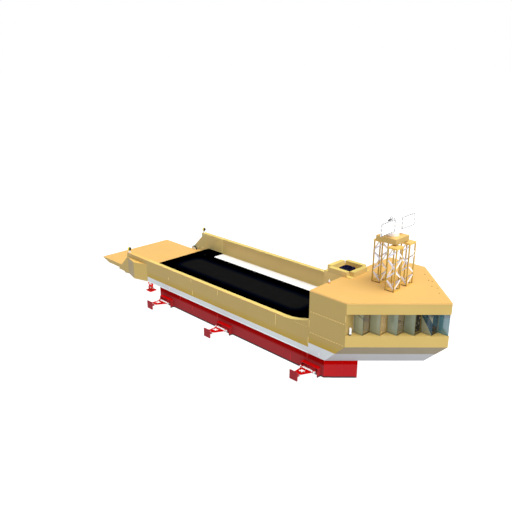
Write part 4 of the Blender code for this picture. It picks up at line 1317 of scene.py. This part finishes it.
def tower_paint(name, x, y):
    """Yellow legs and cap, painted shade where faces look abreast and painted light on the cap's
    top;
    the base frame's abreast faces painted brown as painted shade; braces white fore and aft and
    lilac abreast, the lilac painted shade.
    """

    def middle(finish):
        return finish.z.within(TOWER_FOOT, TOWER_HEAD)

    def fore_braces(finish):
        return (abs(finish.y - y) < BRACE_HALF_Y) & middle(finish), BRACE_WHITE

    def side_braces(finish):
        return (abs(finish.x - x) < BRACE_HALF_X) & middle(finish), SHADED_BRACE_LILAC

    def abreast(finish):
        return (abs(finish.facing(1)) > 0.7) & (finish.z < TOWER_HEAD), TOWER_SHADE

    def top_plate(finish):
        return upward(finish, TOWER_HEAD), LIT_TOWER_TOP

    def base_frame(finish):
        return (finish.z < TOWER_FOOT) & (abs(finish.facing(1)) > 0.7), SHADED_BASE_BROWN

    patches = (abreast, top_plate, fore_braces, side_braces, base_frame)
    return plate_paint(name, TOWER_YELLOW, *patches, roughness=0.45, gloss=0.2)


for place, x, y in TOWER_PLACES:
    paint_nodes(tower_paint(f"tower_paint_{place}", x, y), f"mast_tower_{place}")


# The platform's upright faces are painted browner than its top: painted shade.
browner = shaded_upright_faces(card(194, 163, 93))
platform_paint = plate_paint("platform_paint", ROOF_YELLOW, browner, roughness=0.45)
paint_nodes(platform_paint, "radar_platform")
radar_white = plate_paint("radar_white_paint", card(253, 253, 255), roughness=0.35, gloss=0.5)
paint_nodes(radar_white, "radar_base", "radar_antenna")
radar_grey = plate_paint("radar_seam_paint", card(92, 96, 104), gloss=0.2)
RADAR_X = 11.07
PANEL_X = RADAR_X + 0.322
PANEL_Y = (0.38, 1.66)
PANEL_Z = (8.42, 9.10)
ARCH_Z = 8.85
ARCH_HALF = 0.342
RIB_FOOT = 8.45


def radar_parts():
    """Stitched seams round both panels, ribs over the arched housing and a small black sensor."""
    dash = block("dash", (-0.010, -0.07, -0.017), (0.010, 0.07, 0.017))
    rounded(dash, runs_along(1, 0.1), 0.006, 2)
    upright = twin(dash, Matrix.Rotation(math.pi / 2, 4, "X"))
    level_y = [side * (0.45 + index * 0.226) for side, _ in SIDES for index in range(6)]
    upright_y = [side * y for side, _ in SIDES for y in PANEL_Y]
    upright_z = [8.52 + index * 0.235 for index in range(3)]
    seams = copies(dash, [(PANEL_X, y, z) for y in level_y for z in PANEL_Z])
    seams += copies(upright, [(PANEL_X, y, z) for y in upright_y for z in upright_z])
    fit(joined(seams, "radar_panel_seams"), radar_grey, "radar")
    turns = [math.pi - index * math.pi / 12 for index in range(1, 12)]
    arch = [(ARCH_HALF * math.cos(turn), ARCH_Z + 0.343 * math.sin(turn)) for turn in turns]
    arch = [(-ARCH_HALF, RIB_FOOT), (-ARCH_HALF, ARCH_Z), *arch]
    arch += [(ARCH_HALF, ARCH_Z), (ARCH_HALF, RIB_FOOT)]
    ribs = []
    for x in (RADAR_X - 0.10, RADAR_X + 0.03, RADAR_X + 0.16):
        ribs.append(tube("rib", [(x, y, z) for y, z in arch], 0.016))
    fit(joined(ribs, "radar_housing_ribs"), radar_grey, "radar")
    sensor = round_bar("radar_sensor", (RADAR_X - 0.06, -0.355, 8.97), 0.075, 0.12, "y", 16)
    fit(soften(pressed(sensor, STARBOARD, 0.012, 0.015), 0.006), glass_rim, body="radar")


radar_parts()


# Lamps
# Stern lamps on the bulwark ends and side lanterns on the first window ledge: white cast bodies,
# with a yellow globe and a black shade on the stern lamps.

STERN_LAMP_X, STERN_LAMP_Y = -10.15, 3.82
GLOBE_FOOT = 3.01
CAST_BODY = {"roughness": 0.3, "gloss": 0.5}


def stern_lamp_paint(name, y):
    """White foot, yellow globe, and a black shade on the half towards the port bow."""

    def globe(finish):
        return finish.z > GLOBE_FOOT, card(220, 200, 40)

    def shade(finish):
        ahead = (finish.x - STERN_LAMP_X) + (finish.y - y) > 0.0
        return (finish.z > GLOBE_FOOT) & ahead, card(10, 10, 14)

    return plate_paint(name, card(240, 242, 244), globe, shade, **CAST_BODY)


def lantern_foot(finish):
    """The lantern stands in a dark rubber foot."""
    return finish.z < 3.24, card(70, 60, 48)


lantern_paint = plate_paint("side_lantern_paint", BRIGHT_WHITE, lantern_foot, **CAST_BODY)
paint_nodes(lantern_paint, "side_lantern_starboard", "side_lantern_port")
for side, side_name in SIDES:
    lamp_paint = stern_lamp_paint(f"stern_lamp_paint_{side_name}", side * STERN_LAMP_Y)
    paint_nodes(lamp_paint, f"stern_lamp_{side_name}")


# Studio
# A pale seamless light table under a soft overhead key, with a bright horizon and a dim cool sky.

add = bpy.ops.mesh.primitive_plane_add
floor = start("studio_floor", add, size=900.0, location=(0.0, 0.0, -0.002))
floor_finish = Finish("pale_floor", 0.9)
floor_finish.colour(floor_finish.noise(0.02), card(118, 119, 120), card(122, 122, 123))
floor_finish.set("Emission Color", (1.0, 1.0, 1.0, 1.0))
floor_finish.set("Emission Strength", 0.98)
floor.data.materials.append(floor_finish.material)

key_data = bpy.data.lights.new("soft_key", "SUN")
key_data.energy = 4.1
key_data.angle = math.radians(60.0)
key_data.color = (1.0, 0.98, 0.95)
key = set_up(key_data)
key.rotation_euler = Vector((0.38, 0.0, 1.0)).to_track_quat("Z", "Y").to_euler()

cabin_data = bpy.data.lights.new("cabin_light", "AREA")
cabin_data.shape = "RECTANGLE"
cabin_data.size, cabin_data.size_y = 1.6, 5.0
cabin_data.energy = 160.0
set_up(cabin_data).location = (10.4, 0.0, 4.95)

world = bpy.data.worlds.new("studio_sky")
world.use_nodes = True
bpy.context.scene.world = world
sky = world.node_tree
background = sky.nodes["Background"]
kinds = ("TexCoord", "SeparateXYZ", "MapRange", "Mix")
direction, split, fade, colours = (sky.nodes.new("ShaderNode" + kind) for kind in kinds)
fade.inputs["From Min"].default_value = 0.10
fade.inputs["From Max"].default_value = 0.30
colours.data_type = "RGBA"
colours.inputs[6].default_value = (1.0, 1.0, 1.0, 1.0)
colours.inputs[7].default_value = (0.10, 0.12, 0.16, 1.0)
sky.links.new(direction.outputs["Generated"], split.inputs[0])
sky.links.new(split.outputs[2], fade.inputs[0])
sky.links.new(fade.outputs[0], colours.inputs[0])
sky.links.new(colours.outputs[2], background.inputs["Color"])
background.inputs["Strength"].default_value = 1.0
bpy.context.scene.view_settings.view_transform = "Standard"
